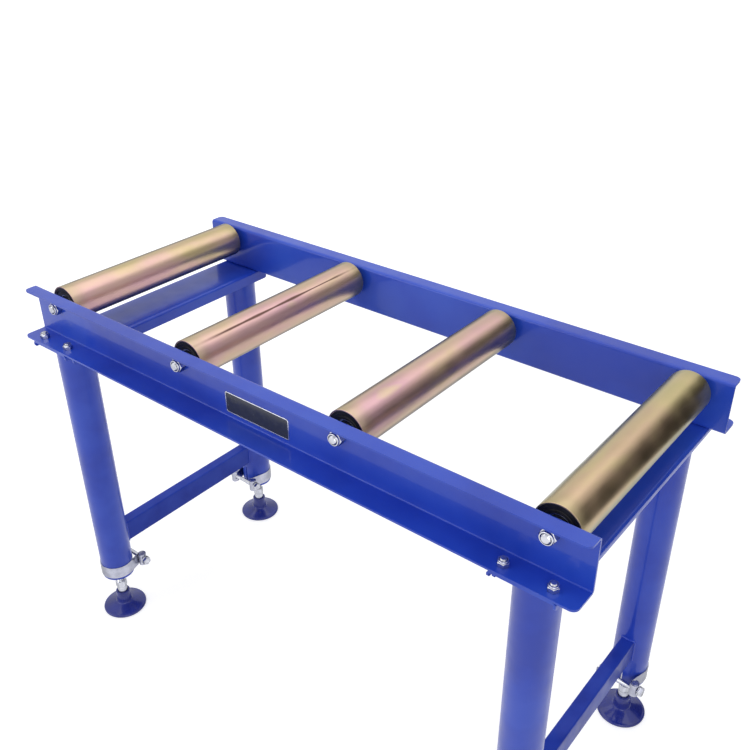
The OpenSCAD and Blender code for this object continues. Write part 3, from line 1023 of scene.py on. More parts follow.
@dataclass
class Legs:
    """The outer leg tubes with their slots, the lower bars between them and the welds that hold both."""

    leg_x: float = 434.0
    leg_y: float = 185.0
    diameter: float = 58.0
    wall: float = 2.5
    low: float = 88.0
    top: float = 585.0
    slot_width: float = 3.0
    slot_length: float = 46.0
    bar_width: float = 22.0
    bar_height: float = 42.0
    bar_top: float = 190.0
    bar_corner: float = 2.4
    bar_weld: float = 1.8
    weld: float = 2.3
    ripple: float = 3.2
    edge: float = 0.5

    def tube(self) -> Patchwork:
        """Works out a leg tube about Z, with its slot towards +Y.

        The wall is three grids of angle by height on one cylinder: round the tube beside the slot,
        between the slot's rounded end and the line above it, and the whole round above that.

        Returns:
            The patchwork, open at both ends and one wall thick.
        """
        r, w = self.diameter / 2, self.slot_width / 2
        half = math.asin(w / r)
        centre = self.low + self.slot_length - w
        line = centre + 2 * w
        around = np.linspace(half, TURN - half, 120)
        gap = np.arcsin(np.cos(np.linspace(0, math.pi, 11)) * w / r)
        patch = Patchwork()

        def on_tube(angle: np.ndarray, height: np.ndarray) -> np.ndarray:
            """Puts angles from the slot's middle and heights on the tube."""
            return np.stack([r * np.sin(angle), r * np.cos(angle), height + 0 * angle], axis=-1)

        rows = np.array([self.low, 98.0, 110.0, 122.0, centre, line])[:, None]
        patch.grid(on_tube(around[None, :] + 0 * rows, rows))
        rounded = centre + np.sqrt(np.maximum(w**2 - (r * np.sin(gap)) ** 2, 0))
        patch.grid(on_tube(np.stack([gap, gap]), np.stack([rounded, np.full_like(gap, line)])), flip=True)
        whole = np.concatenate([gap[::-1], around[1:]])
        rows = np.linspace(line, self.top, 10)[:, None]
        patch.grid(on_tube(whole[None, :] + 0 * rows, rows))
        return patch

    def build_tubes(self) -> None:
        """Makes the four leg tubes, each turned so that its slot faces the stand's middle."""
        for corner in CORNERS:
            patch = self.tube()
            foot = (corner.x * self.leg_x, corner.y * self.leg_y, 0)
            patch.points = [placed(points, foot, across=(-corner.y, 0, 0)) for points in patch.points]
            name, node = f"slotted_leg_{corner.letters}", f"leg_tube_{corner.letters}"
            patch.sheet(name, LEG_COAT, node, Slot.FRAME_PAINT, self.wall, self.edge)

    def outline(self, steps: int) -> np.ndarray:
        """Gives the bar's rounded outline with its outward directions.

        Args:
            steps: Number of chords in each rounded corner.

        Returns:
            Rows of X, Z and the direction's X and Z, the last row the same as the first.
        """
        w, h, c = self.bar_width / 2, self.bar_height / 2, self.bar_corner
        rows = []
        for start, sx, sz in QUARTERS:
            out = arc((0, 0), 1, start, start + 90, steps)
            rows.append(np.concatenate([np.array([sx * (w - c), sz * (h - c)]) + c * out, out], axis=1))
        rows = np.concatenate(rows)
        # Only the straight sides are longer than a corner's radius, and they are cut in eight.
        dense = [
            np.linspace(a, b, 9)[:-1] if np.hypot(*(b - a)[:2]) > c else a[None]
            for a, b in zip(rows, np.roll(rows, -1, axis=0))
        ]
        rows = np.concatenate(dense)
        return np.concatenate([rows, rows[:1]])

    def build_bars(self) -> None:
        """Makes the lower bars: a rounded outline carried along Y up to the legs' round, with welds.

        At height z and offset x of the outline a bar ends where the leg's circle stands, at the
        leg's axis less the root of the radius squared less x squared.
        """
        r = self.diameter / 2
        mid = self.bar_top - self.bar_height / 2
        line = self.outline(6)
        reach = self.leg_y - np.sqrt((r - 1.0) ** 2 - line[:, 0] ** 2)
        share = np.linspace(-1, 1, 13)[:, None]
        for name, sign in (("left", -1), ("right", 1)):
            x = sign * (self.leg_x + line[:, 0])
            skin = np.stack([x + 0 * share, share * reach, mid + line[:, 1] + 0 * share], axis=-1)
            first, last = (
                np.repeat(ring.mean(axis=0)[None, None], len(ring), axis=1) for ring in (skin[0], skin[-1])
            )
            # The bars take the darker copy of the coat, which paints in their shade.
            Patchwork().grid(np.concatenate([first, skin, last])).piece(
                f"welded_bar_{name}",
                [BAR_COAT_WITH_PAINTED_SHADE],
                "frame",
                (f"lower_bar_{name}",),
                Slot.FRAME_PAINT,
                crease=50.0,
            )

    def build_welds(self) -> None:
        """Makes the beads round the legs' tops and round the bars' ends."""
        r = self.diameter / 2
        patch = Patchwork()
        angle = np.linspace(0, TURN, 193)
        radial = np.stack([np.cos(angle), np.sin(angle), 0 * angle], axis=-1)
        up = np.repeat(np.array([[0.0, 0.0, 1.0]]), len(angle), axis=0)
        line = self.outline(6)
        line_length = 2 * (self.bar_width + self.bar_height)
        reach = self.leg_y - np.sqrt(r**2 - line[:, 0] ** 2)
        out = np.stack([line[:, 2], 0 * line[:, 0], line[:, 3]], axis=-1)
        mid = self.bar_top - self.bar_height / 2
        for corner in CORNERS:
            axis = np.array([corner.x * self.leg_x, corner.y * self.leg_y, self.top - 0.4])
            patch.grid(bead(axis + (r + 0.3) * radial, radial, up, self.weld, self.ripple, TURN * r))
            path = np.stack([line[:, 0], 0 * reach, mid + line[:, 1]], axis=-1)
            path[:, 0] += corner.x * self.leg_x
            path[:, 1] = corner.y * (reach - 0.3)
            away = np.repeat(np.array([[0.0, -corner.y, 0.0]]), len(path), axis=0)
            ring = bead(path + 0.2 * out, away, out, self.bar_weld, self.ripple, line_length)
            patch.grid(ring, flip=corner.y > 0)
        patch.piece("weld_beads", [LEG_COAT], "frame", slot=Slot.FRAME_PAINT, crease=60.0)

    def build(self) -> None:
        """Makes tubes, bars and welds."""
        self.build_tubes()
        self.build_bars()
        self.build_welds()


@dataclass
class LockNut:
    """A hexagon nut with a nylon ring under its rolled collar, made about Z on its seat."""

    flats: float
    hexagon: float
    collar: float
    bore: float

    def add_to(self, patch: Patchwork, origin: Vector3, along: Vector3) -> None:
        """Adds the nut: a chamfered hexagon, a rolled collar and the nylon ring inside it.

        Args:
            patch: The patchwork; tone 0 is the plating and tone 1 the nylon.
            origin: The seat's middle.
            along: The direction of the bolt's end.
        """
        corner = hexagon_corner(self.flats)
        drop = (corner - self.flats / 2 + 0.3) * math.tan(math.radians(28))
        neck = self.flats / 2 * 0.93
        full = self.hexagon + self.collar
        lip = self.bore / 2 + 0.9 + 0.06 * self.flats
        rim = self.collar * 0.55
        body = [
            (self.bore / 2, 0.0),
            (self.flats / 2 - 0.3, 0.0),
            *np.linspace((self.flats / 2 - 0.3, 0.0), (corner, drop), 6)[1:],
            *np.linspace((corner, drop), (corner, self.hexagon - drop * 1.3), 6)[1:],
            *np.linspace((corner, self.hexagon - drop * 1.3), (neck + 0.05, self.hexagon), 8)[1:],
        ]
        collar = [
            (neck, self.hexagon),
            (neck, full - rim),
            *arc((neck - rim, full - rim), rim, 0, 90, 6)[1:],
            (lip + 0.25, full),
            (lip, full - 0.25),
            (lip, full - 0.9),
        ]
        ring = [
            (lip, full - 0.9),
            (lip - 0.5, full - 0.65),
            (self.bore / 2 + 0.2, full - 0.7),
            (self.bore / 2, full - 1.0),
        ]
        patch.lathe(body, origin, along, flats=self.flats)
        patch.lathe(collar, origin, along)
        patch.lathe(ring, origin, along, tone=1)
        patch.lathe([(self.bore / 2, full - 1.0), (self.bore / 2, 0.0)], origin, along)
        patch.lathe([(neck + 0.05, self.hexagon), (neck, self.hexagon)], origin, along)


def screw_end(
    patch: Patchwork,
    radius: float,
    low: float,
    high: float,
    pitch: float,
    origin: Vector3,
    along: Vector3,
    across: Vector3 = (1, 0, 0),
) -> None:
    """Adds the threaded end of a bolt or axle: thread, chamfer and flat end.

    Args:
        patch: The patchwork.
        radius: Radius of the thread's crests.
        low: Height where the thread starts.
        high: Height of the end face.
        pitch: The thread's pitch.
        origin: Where the heights start.
        along: The direction of the end.
        across: A direction across it.
    """
    chamfer = 0.6 * pitch
    patch.grid(placed(threaded(radius, low, high - chamfer, pitch), origin, along, across))
    end = [(radius, high - chamfer), (radius - chamfer, high), (0.55 * radius, high), (0.0, high)]
    patch.lathe(end, origin, along, across)


@dataclass
class FlangeBolts:
    """The bolts through rail and channel, with their locking nuts on the rail's flange."""

    leg_x: float = 434.0
    spacing: float = 62.0
    y: float = 214.0
    diameter: float = 8.0
    flats: float = 13.0
    head: float = 5.3
    seat: float = 585.0
    flange_top: float = 591.0
    nut: float = 6.0
    collar: float = 2.5
    proud: float = 1.5
    plain: float = 4.0
    pitch: float = 1.25

    def places(self) -> list[tuple[float, float]]:
        """Gives X and Y of the eight bolts."""
        return [(c.x * self.leg_x + s * self.spacing / 2, c.y * self.y) for c in CORNERS for s in (-1, 1)]

    def build(self) -> None:
        """Makes the eight bolts as one piece and the eight nuts as another."""
        bolts, nuts = Patchwork(), Patchwork()
        nut = LockNut(self.flats, self.nut, self.collar, self.diameter)
        corner = hexagon_corner(self.flats)
        r = self.diameter / 2
        head = [
            (0.0, -self.head + 0.3),
            (self.flats * 0.36, -self.head + 0.3),
            (self.flats * 0.38, -self.head),
            *np.linspace((self.flats / 2 - 0.3, -self.head), (corner, -self.head + 0.75), 6),
            *np.linspace((corner, -self.head + 0.75), (corner, -0.2), 4)[1:],
            (corner - 0.1, 0.0),
            (r, 0.0),
            (r, self.plain),
        ]
        end = self.flange_top - self.seat + self.nut + self.collar + self.proud
        for x, y in self.places():
            bolts.lathe(head, (x, y, self.seat), flats=self.flats)
            screw_end(bolts, r, self.plain, end, self.pitch, (x, y, self.seat), (0, 0, 1))
            nut.add_to(nuts, (x, y, self.flange_top), (0, 0, 1))
        bolts.piece("flange_bolt_set", [FASTENER_ZINC], "frame", ("flange_bolts",), Slot.FASTENERS)
        nuts.piece("flange_nut_set", [FASTENER_ZINC, LOCK_NYLON], "frame", ("flange_nuts",), Slot.FASTENERS)


@dataclass
class Rollers:
    """The four rollers with their caps and bearings, and the fixed axles and nuts that carry them."""

    places: tuple[float, ...] = (-445.0, -445.0 / 3, 445.0 / 3, 445.0)
    seams: tuple[float, ...] = (200.0, 31.0, 150.0, 230.0)
    height: float = 643.0
    half: float = 179.0
    diameter: float = 60.0
    wall: float = 2.0
    cap_recess: float = 1.0
    cap_length: float = 22.0
    bearing: float = 32.0
    bearing_width: float = 10.0
    bearing_recess: float = 2.0
    ring: float = 9.08
    axle: float = 12.0
    axle_half: float = 205.5
    axle_thread: float = 25.5
    nut_seat: float = 192.0
    nut_flats: float = 19.0
    nut_hexagon: float = 9.0
    nut_collar: float = 3.0
    pitch: float = 1.75

    def build_tube(self, number: int, x: float) -> None:
        """Makes a roller tube: outer wall, two chamfered ends and bore, turned about Y.

        Its UV map runs round from the weld seam's far side, so that the seam is at the middle of U.

        Args:
            number: The roller's number.
            x: The roller's place.
        """
        r, inner, h, c = self.diameter / 2, self.diameter / 2 - self.wall, self.half, 0.5
        seam = math.radians(self.seams[number - 1])
        # The seam's angle is measured from straight up towards +X; the grid starts opposite it.
        across = (-math.sin(seam), 0.0, -math.cos(seam))
        rim = arc((r - c, h - c), c, 0, 90, 4)
        outside = np.concatenate([[(r, -h + c)], straight((r, -h + c), (r, h - c), 24)[1:-1], rim[:1]])
        cap = np.concatenate([rim, [(inner + 0.3, h), (inner, h - 0.3)]])
        patch = Patchwork()
        origin = (x, 0.0, self.height)
        bore = [(inner, h - 0.3), (inner, -h + 0.3)]
        for profile in (outside, cap, cap[::-1] * (1, -1), bore):
            patch.lathe(profile, origin, (0, 1, 0), across, Columns.ROLLER)
        # The UVs of ends and bore stay at one place, clear of the seam's line and of the green ends.
        for ways in patch.ways[1:]:
            ways[:] = (0.1, 0.5)
        patch.piece(
            f"plated_roller_{number}",
            [OLIVE_PASSIVATE if number == 4 else TUBE_PASSIVATE],
            f"roller_{number}",
            (f"roller_tube_{number}",),
            Slot.ROLLERS,
        )

    def build_ends(self, number: int, x: float) -> None:
        """Makes a roller's two moulded caps and the turning rings and seals of its bearings.

        Args:
            number: The roller's number.
            x: The roller's place.
        """
        r = self.diameter / 2 - self.wall
        face = self.half - self.cap_recess
        back = face - self.cap_length
        seat = face - self.bearing_recess
        b = self.bearing / 2
        groove = (r + b) / 2
        floor = seat - self.bearing_width
        cap = [
            (b * 0.8, back),
            (r - 1.0, back),
            (r, back + 1.0),
            (r, face - 0.6),
            (r - 0.6, face),
            (groove + 2.6, face),
            (groove + 2.2, face - 0.9),
            (groove - 1.6, face - 0.9),
            (groove - 2.0, face),
            (b + 0.5, face),
            (b, face - 0.5),
            (b, floor),
            (b * 0.8, floor),
            (b * 0.8, back),
        ]
        inner = self.ring + 0.08
        shield = seat - 0.7
        steel = [
            (inner + 1.2, shield - 0.4),
            (inner + 1.2, floor + 0.6),
            (b - 0.4, floor),
            (b, floor + 0.4),
            (b, seat - 0.4),
            (b - 0.4, seat),
            (b - 2.2, seat),
            (b - 2.5, shield),
            (b - 2.5, shield - 0.4),
            (inner + 1.2, shield - 0.4),
        ]
        seal = [
            (inner, shield - 0.5),
            (b - 2.5, shield - 0.5),
            (b - 2.5, shield + 0.1),
            (b - 3.4, shield + 0.25),
            (inner + 1.4, shield + 0.05),
            (inner + 0.6, shield + 0.3),
            (inner, shield + 0.2),
            (inner, shield - 0.5),
        ]
        caps, rings = Patchwork(), Patchwork()
        for sign in (-1, 1):
            origin, along = (x, 0.0, self.height), (0, sign, 0)
            caps.lathe(cap, origin, along, columns=Columns.CAP)
            rings.lathe(steel, origin, along, columns=Columns.CAP)
            rings.lathe(seal, origin, along, columns=Columns.CAP, tone=1)
        body = f"roller_{number}"
        caps.piece(f"moulded_caps_{number}", [CAP_NYLON], body, (f"roller_caps_{number}",), Slot.CAPS)
        rings.piece(
            f"sealed_bearings_{number}",
            [RING_STEEL, SEAL_RUBBER],
            body,
            (f"roller_bearings_{number}",),
            Slot.BEARINGS,
        )

    def build(self) -> None:
        """Makes rollers, axles and axle nuts."""
        nuts = Patchwork()
        nut = LockNut(self.nut_flats, self.nut_hexagon, self.nut_collar, self.axle)
        for number, x in enumerate(self.places, 1):
            self.build_tube(number, x)
            self.build_ends(number, x)
            rod = Patchwork()
            r, start = self.axle / 2, self.axle_half - self.axle_thread
            for sign in (-1, 1):
                origin, along = (x, 0.0, self.height), (0, sign, 0)
                rod.lathe([(r, 0.0), (r, start)], origin, along)
                screw_end(rod, r, start, self.axle_half, self.pitch, origin, along)
                nut.add_to(nuts, (x, sign * self.nut_seat, self.height), along)
            rod.piece(f"axle_rod_{number}", [FASTENER_ZINC], "frame", (f"axle_{number}",), Slot.FASTENERS)
        nuts.piece("axle_nut_set", [FASTENER_ZINC, LOCK_NYLON], "frame", ("axle_nuts",), Slot.FASTENERS)


@dataclass
class LegClamps:
    """The clamps at the legs' lower ends: a band with a rolled loop at each end, trunnions and a bolt."""

    leg_x: float = 434.0
    leg_y: float = 185.0
    leg: float = 58.0
    low: float = 93.5
    band: float = 24.0
    sheet: float = 1.6
    loop: float = 15.0
    loop_x: float = 27.0
    loop_y: float = 38.0
    loop_open: float = 60.0
    bolt: float = 8.0
    window: float = 8.6
    head_flats: float = 14.0
    head: float = 6.0
    flange: float = 17.0
    flange_sheet: float = 1.6
    proud: float = 4.0
    thread: float = 30.0
    pitch: float = 1.25
    edge: float = 0.3

    def half_path(self) -> list[tuple[np.ndarray, bool]]:
        """Gives one half of the band's middle line, from the tube's far side to the loop's free end.

        The line is an arc round the tube, a straight strip tangent to tube and loop, and an arc
        of the loop that rolls outwards. It is cut where the bolt's windows start and end.

        Returns:
            Pieces of the line, each with whether the bolt's window is in it.
        """
        r = (self.leg + self.sheet) / 2
        q = (self.loop - self.sheet) / 2
        far = math.hypot(self.loop_x, self.loop_y)
        leave = math.atan2(self.loop_y, self.loop_x) - math.acos((r + q) / far)
        strip = math.sqrt(far**2 - (r + q) ** 2)
        degrees = math.degrees(leave)
        turn = np.array([[math.cos(leave), math.sin(leave)], [-math.sin(leave), math.cos(leave)]])
        hole = math.degrees(math.asin(self.window / 2 / q))
        cut = (self.loop_y - self.window / 2 - r * math.sin(leave)) / math.cos(leave)
        centre = (r + q, strip)
        first, second = 180 - degrees - hole, -degrees
        free = -180 + self.loop_open
        bent = np.concatenate([straight((r, cut), (r, strip), 2), arc(centre, q, 180, first, 6)[1:]])
        return [
            (arc((0, 0), r, -90, degrees, 44), False),
            (straight((r, 0), (r, cut), 8) @ turn, False),
            (bent @ turn, True),
            (arc(centre, q, first, second + hole, 12) @ turn, False),
            (arc(centre, q, second + hole, second - hole, 8) @ turn, True),
            (arc(centre, q, second - hole, free, 8) @ turn, False),
        ]

    def build_band(self, corner: Corner) -> None:
        """Makes a band: its middle line carried up Z, without the cells of the bolt's windows.

        Args:
            corner: The clamp's corner.
        """
        patch = Patchwork()
        mid = self.band / 2
        low, high = mid - self.window / 2, mid + self.window / 2
        rows = np.array([0.0, 4.0, low, mid, high, self.band - 4.0, self.band])
        origin = (corner.x * self.leg_x, corner.y * self.leg_y, self.low)
        across = (-corner.y, 0, 0)
        for mirror in (1, -1):
            for line, has_window in self.half_path():
                for part in (rows[:3], rows[4:]) if has_window else (rows,):
                    z = part[:, None]
                    xy = line[None, :, :] * (mirror, 1)
                    points = np.stack([xy[..., 0] + 0 * z, xy[..., 1] + 0 * z, z + 0 * xy[..., 0]], axis=-1)
                    patch.grid(placed(points, origin, across=across), flip=mirror > 0)
        name, node = f"rolled_band_{corner.letters}", f"clamp_band_{corner.letters}"
        patch.sheet(name, BAND_ZINC, node, Slot.CLAMPS, self.sheet, self.edge, wall_side=0.0)

    def build(self) -> None:
        """Makes bands, trunnions and bolts."""
        bolts, bars = Patchwork(), Patchwork()
        trunnion = self.loop / 2 - self.sheet
        flats = self.head_flats
        corner_r = hexagon_corner(flats)
        f, t, h = self.flange / 2, self.flange_sheet, self.flange_sheet + self.head
        top = t + 0.25
        flange = [(self.bolt / 2, 0.0), (f - 0.3, 0.0), (f, 0.3), (f, t - 0.4), (f - 0.5, t), (corner_r, top)]
        head = [
            *np.linspace((corner_r, top), (corner_r, h - 0.8), 4),
            *np.linspace((corner_r, h - 0.8), (flats / 2 - 0.4, h), 6)[1:],
            (flats * 0.36, h),
            (flats * 0.34, h - 0.4),
            (0.0, h - 0.4),
        ]
        end = 2 * self.loop_x + self.loop + self.proud
        shank = [(self.bolt / 2, 0.0), (self.bolt / 2, end - self.thread)]
        bar = [
            (0.0, 0.0),
            (trunnion - 0.8, 0.0),
            (trunnion - 0.05, 0.7),
            (trunnion - 0.05, self.band - 0.7),
            (trunnion - 0.8, self.band),
            (0.0, self.band),
        ]
        # Where a bolt's head and its shank point, each with a direction across it.
        outward, inward = ((1, 0, 0), (0, 0, 1)), ((-1, 0, 0), (0, 0, 1))
        for corner in CORNERS:
            self.build_band(corner)
            turn = -corner.y
            x, y = corner.x * self.leg_x, corner.y * self.leg_y
            height = self.low + self.band / 2
            seat = (x + self.loop_x + self.loop / 2, y + turn * self.loop_y, height)
            bolts.lathe(flange, seat, *outward)
            bolts.grid(placed(shoulder(corner_r, top, flats), seat, *outward))
            bolts.lathe(head, seat, *outward, flats=flats)
            bolts.lathe(shank, seat, *inward)
            screw_end(bolts, self.bolt / 2, end - self.thread, end, self.pitch, seat, *inward)
            for sign in (-1, 1):
                foot = (x + turn * sign * self.loop_x, y + turn * self.loop_y, self.low)
                bars.lathe(bar, foot, columns=Columns.TRUNNION)
        bolts.piece("clamp_bolt_set", [FASTENER_ZINC], "frame", ("clamp_bolts",), Slot.FASTENERS)
        bars.piece("clamp_trunnion_set", [BAND_ZINC], "frame", ("clamp_trunnions",), Slot.CLAMPS)


@dataclass
class LevellingFeet:
    """The sliding inner tubes with their levelling studs and the cast feet."""

    leg_x: float = 434.0
    leg_y: float = 185.0
    tube: float = 26.42
    tube_wall: float = 2.0
    tube_low: float = 86.5
    tube_length: float = 400.0
    pad: float = 80.0
    rim: float = 6.0
    cone: float = 14.0
    neck_low: float = 29.0
    neck_top: float = 26.0
    neck: float = 38.0
    fillet: float = 3.0
    hollow: float = 7.5
    socket: float = 20.0
    collar: float = 18.5
    collar_top: float = 50.0
    hex_flats: float = 18.0
    hexagon: float = 13.0
    stud: float = 15.0
    stud_length: float = 88.0
    pitch: float = 2.0

    def pad_profile(self) -> np.ndarray:
        """Gives the foot's section: hollow underside, rounded rim, cone, fillet, neck and socket.

        Returns:
            Radius and height of each step, a closed line.
        """
        rim = self.rim / 2
        edge = self.pad / 2 - rim
        foot = np.array([self.neck_low / 2, self.cone])
        cone = np.array([edge, self.rim]) - foot
        cone /= np.hypot(*cone)
        neck = np.array([self.neck_top / 2, self.neck]) - foot
        neck /= np.hypot(*neck)
        half = math.acos(float(cone @ neck)) / 2
        radius = self.fillet
        centre = foot + (cone + neck) / np.hypot(*(cone + neck)) * radius / math.sin(half)
        reach = radius / math.tan(half)
        a = math.degrees(math.atan2(*(foot + cone * reach - centre)[::-1]))
        b = math.degrees(math.atan2(*(foot + neck * reach - centre)[::-1]))
        sweep = (b - a + 180) % 360 - 180
        bore = self.collar / 2 + 0.08
        floor = self.neck - self.socket
        top = 1.2
        rows = [
            straight((0.0, self.hollow), (self.neck_low / 2, self.hollow), 4),
            straight((self.neck_low / 2, self.hollow), (edge - 5.0, 0.0), 8),
            arc((edge, rim), rim, -90, 90, 16),
            straight((edge, self.rim), tuple(foot + cone * reach), 8),
            arc(tuple(centre), radius, a, a + sweep, 8),
            straight(tuple(foot + neck * reach), (self.neck_top / 2 + 0.05, self.neck - top), 6),
            arc((self.neck_top / 2 - top, self.neck - top), top, 0, 90, 5),
            [(bore + 0.7, self.neck), (bore, self.neck - 0.7)],
            [(bore, floor), (0.0, floor)],
        ]
        rows = np.concatenate([np.asarray(r, float) for r in rows])
        keep = np.concatenate([[True], np.hypot(*np.diff(rows, axis=0).T) > 1e-6])
        return rows[keep]

    def build(self) -> None:
        """Makes the inner tubes, studs and feet, each on its own body."""
        low, c = self.collar_top, self.collar / 2
        corner = hexagon_corner(self.hex_flats)
        top = low + self.hexagon
        for place in CORNERS:
            origin = (place.x * self.leg_x, place.y * self.leg_y, 0.0)
            across = (-place.y, 0, 0)
            foot = Patchwork().lathe(self.pad_profile(), origin, across=across, columns=Columns.FOOT)
            foot.piece(
                f"cast_foot_{place.letters}",
                [FOOT_COAT],
                f"foot_{place.letters}",
                (f"foot_pad_{place.letters}",),
                Slot.FOOT_PAINT,
                crease=40.0,
            )
            stud = Patchwork()
            base = self.neck - self.socket + 0.3
            collar = [(0.0, base), (c - 0.5, base), (c, base + 0.5), (c, low)]
            milled = [
                *np.linspace((c, low), (corner, low + corner - c), 10),
                *np.linspace((corner, low + corner - c), (corner, top - 1.2), 5)[1:],
                *np.linspace((corner, top - 1.2), (self.hex_flats / 2 - 0.3, top), 7)[1:],
                (self.stud / 2, top),
            ]
            stud.lathe(collar, origin, across=across)
            stud.grid(placed(shoulder(c, low, self.hex_flats), origin, across=across))
            stud.lathe(milled, origin, across=across, flats=self.hex_flats)
            screw_end(stud, self.stud / 2, top, top + self.stud_length, self.pitch, origin, (0, 0, 1), across)
            stud.piece(
                f"hexagon_stud_{place.letters}",
                [FASTENER_ZINC],
                f"stud_{place.letters}",
                (f"level_stud_{place.letters}",),
                Slot.FASTENERS,
            )
            r, i, z, e = self.tube, self.tube - self.tube_wall, self.tube_low, 0.4
            end = self.tube_low + self.tube_length
            wall = [
                (i, z + e),
                (i + e, z),
                (r - e, z),
                (r, z + e),
                *straight((r, z + e), (r, end - e), 8)[1:],
                (r - e, end),
                (i + e, end),
                (i, end - e),
                (i, z + e),
            ]
            tube = Patchwork().lathe(wall, origin, across=across, columns=Columns.FOOT)
            tube.piece(
                f"sliding_tube_{place.letters}",
                [TUBE_ZINC],
                f"leg_{place.letters}",
                (f"inner_tube_{place.letters}",),
                Slot.INNER_TUBES,
                crease=40.0,
            )


@dataclass
class NamePlate:
    """A plain plate on the front rail's web, left bare: a dark field inside a bright raised border."""

    middle: Vector3 = (1.0, -192.0, 615.0)
    width: float = 120.0
    height: float = 33.0
    corner: float = 4.0
    thickness: float = 0.9
    border: float = 1.7

    def ring(self, inset: float, lift: float) -> np.ndarray:
        """Gives the plate's rounded outline, drawn in and lifted off the web.

        The outline is four quarter circles joined by straight sides. Drawing it in by a distance
        shortens the corner radius and the half sizes by that distance.

        Args:
            inset: How far it is drawn in.
            lift: How far it stands off the web.

        Returns:
            A closed row of points.
        """
        w, h = self.width / 2 - self.corner, self.height / 2 - self.corner
        c, spare = max(self.corner - inset, 0.2), max(inset - self.corner + 0.2, 0.0)
        rows = []
        for start, sx, sz in QUARTERS:
            rows.append(arc((sx * (w - spare), sz * (h - spare)), c, start, start + 90, 8))
        xz = np.concatenate([*rows, rows[0][:1]])
        x, y, z = self.middle
        return np.stack([x + xz[:, 0], np.full(len(xz), y - lift), z + xz[:, 1]], axis=-1)

    def build(self) -> None:
        """Makes the border as rings that rise, cross and fall, and the field inside it."""
        t, b = self.thickness, self.border
        rise = [(0.0, 0.0), (0.0, t * 0.6), (0.15, t * 0.88), (0.4, t)]
        fall = [(b - 0.4, t), (b - 0.15, t * 0.9), (b, t * 0.55)]
        rings = [self.ring(inset, lift) for inset, lift in rise + fall]
        x, y, z = self.middle
        centre = np.repeat(np.array([[x, y - t * 0.55, z]]), len(rings[0]), axis=0)
        back = np.repeat(np.array([self.middle]), len(rings[0]), axis=0)
        patch = Patchwork().grid(np.stack(rings))
        patch.grid(np.stack([rings[-1], centre]), tone=1)
        patch.grid(np.stack([back, rings[0]]))
        patch.piece("bare_plate", [PLATE_METAL, PLATE_FIELD], "frame", crease=40.0)


@dataclass
class SmallParts:
    """CAD nodes whose own shape stays and that only get their finish."""

    finishes: dict[str, Finish] = field(
        default_factory=lambda: {
            "axle_spacers": FASTENER_ZINC,
            "bearing_inner_rings": RING_STEEL,
            **{f"leg_plug_{c.letters}": TUBE_ZINC for c in CORNERS},
        }
    )

    def build(self) -> None:
        """Puts the finishes on the nodes."""
        for name, finish in self.finishes.items():
            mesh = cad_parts[name].data
            mesh.materials.clear()
            mesh.materials.append(finish.material())
            LOG.info("%s keeps its shape and gets %s", name, finish.name)


# ---------------------------------------------------------------- studio


def aimed(place: Vector3, aim: Vector3) -> tuple[np.ndarray, np.ndarray, np.ndarray]:
    """Works out the directions of a lamp or card that faces a point.

    Args:
        place: Its middle.
        aim: The point.

    Returns:
        Its sideways, upward and forward unit directions.
    """
    ahead = np.array(aim, float) - np.array(place, float)
    ahead /= np.linalg.norm(ahead)
    side = np.cross(ahead, (0, 0, 1.0))
    side /= np.linalg.norm(side)
    return side, np.cross(side, ahead), ahead


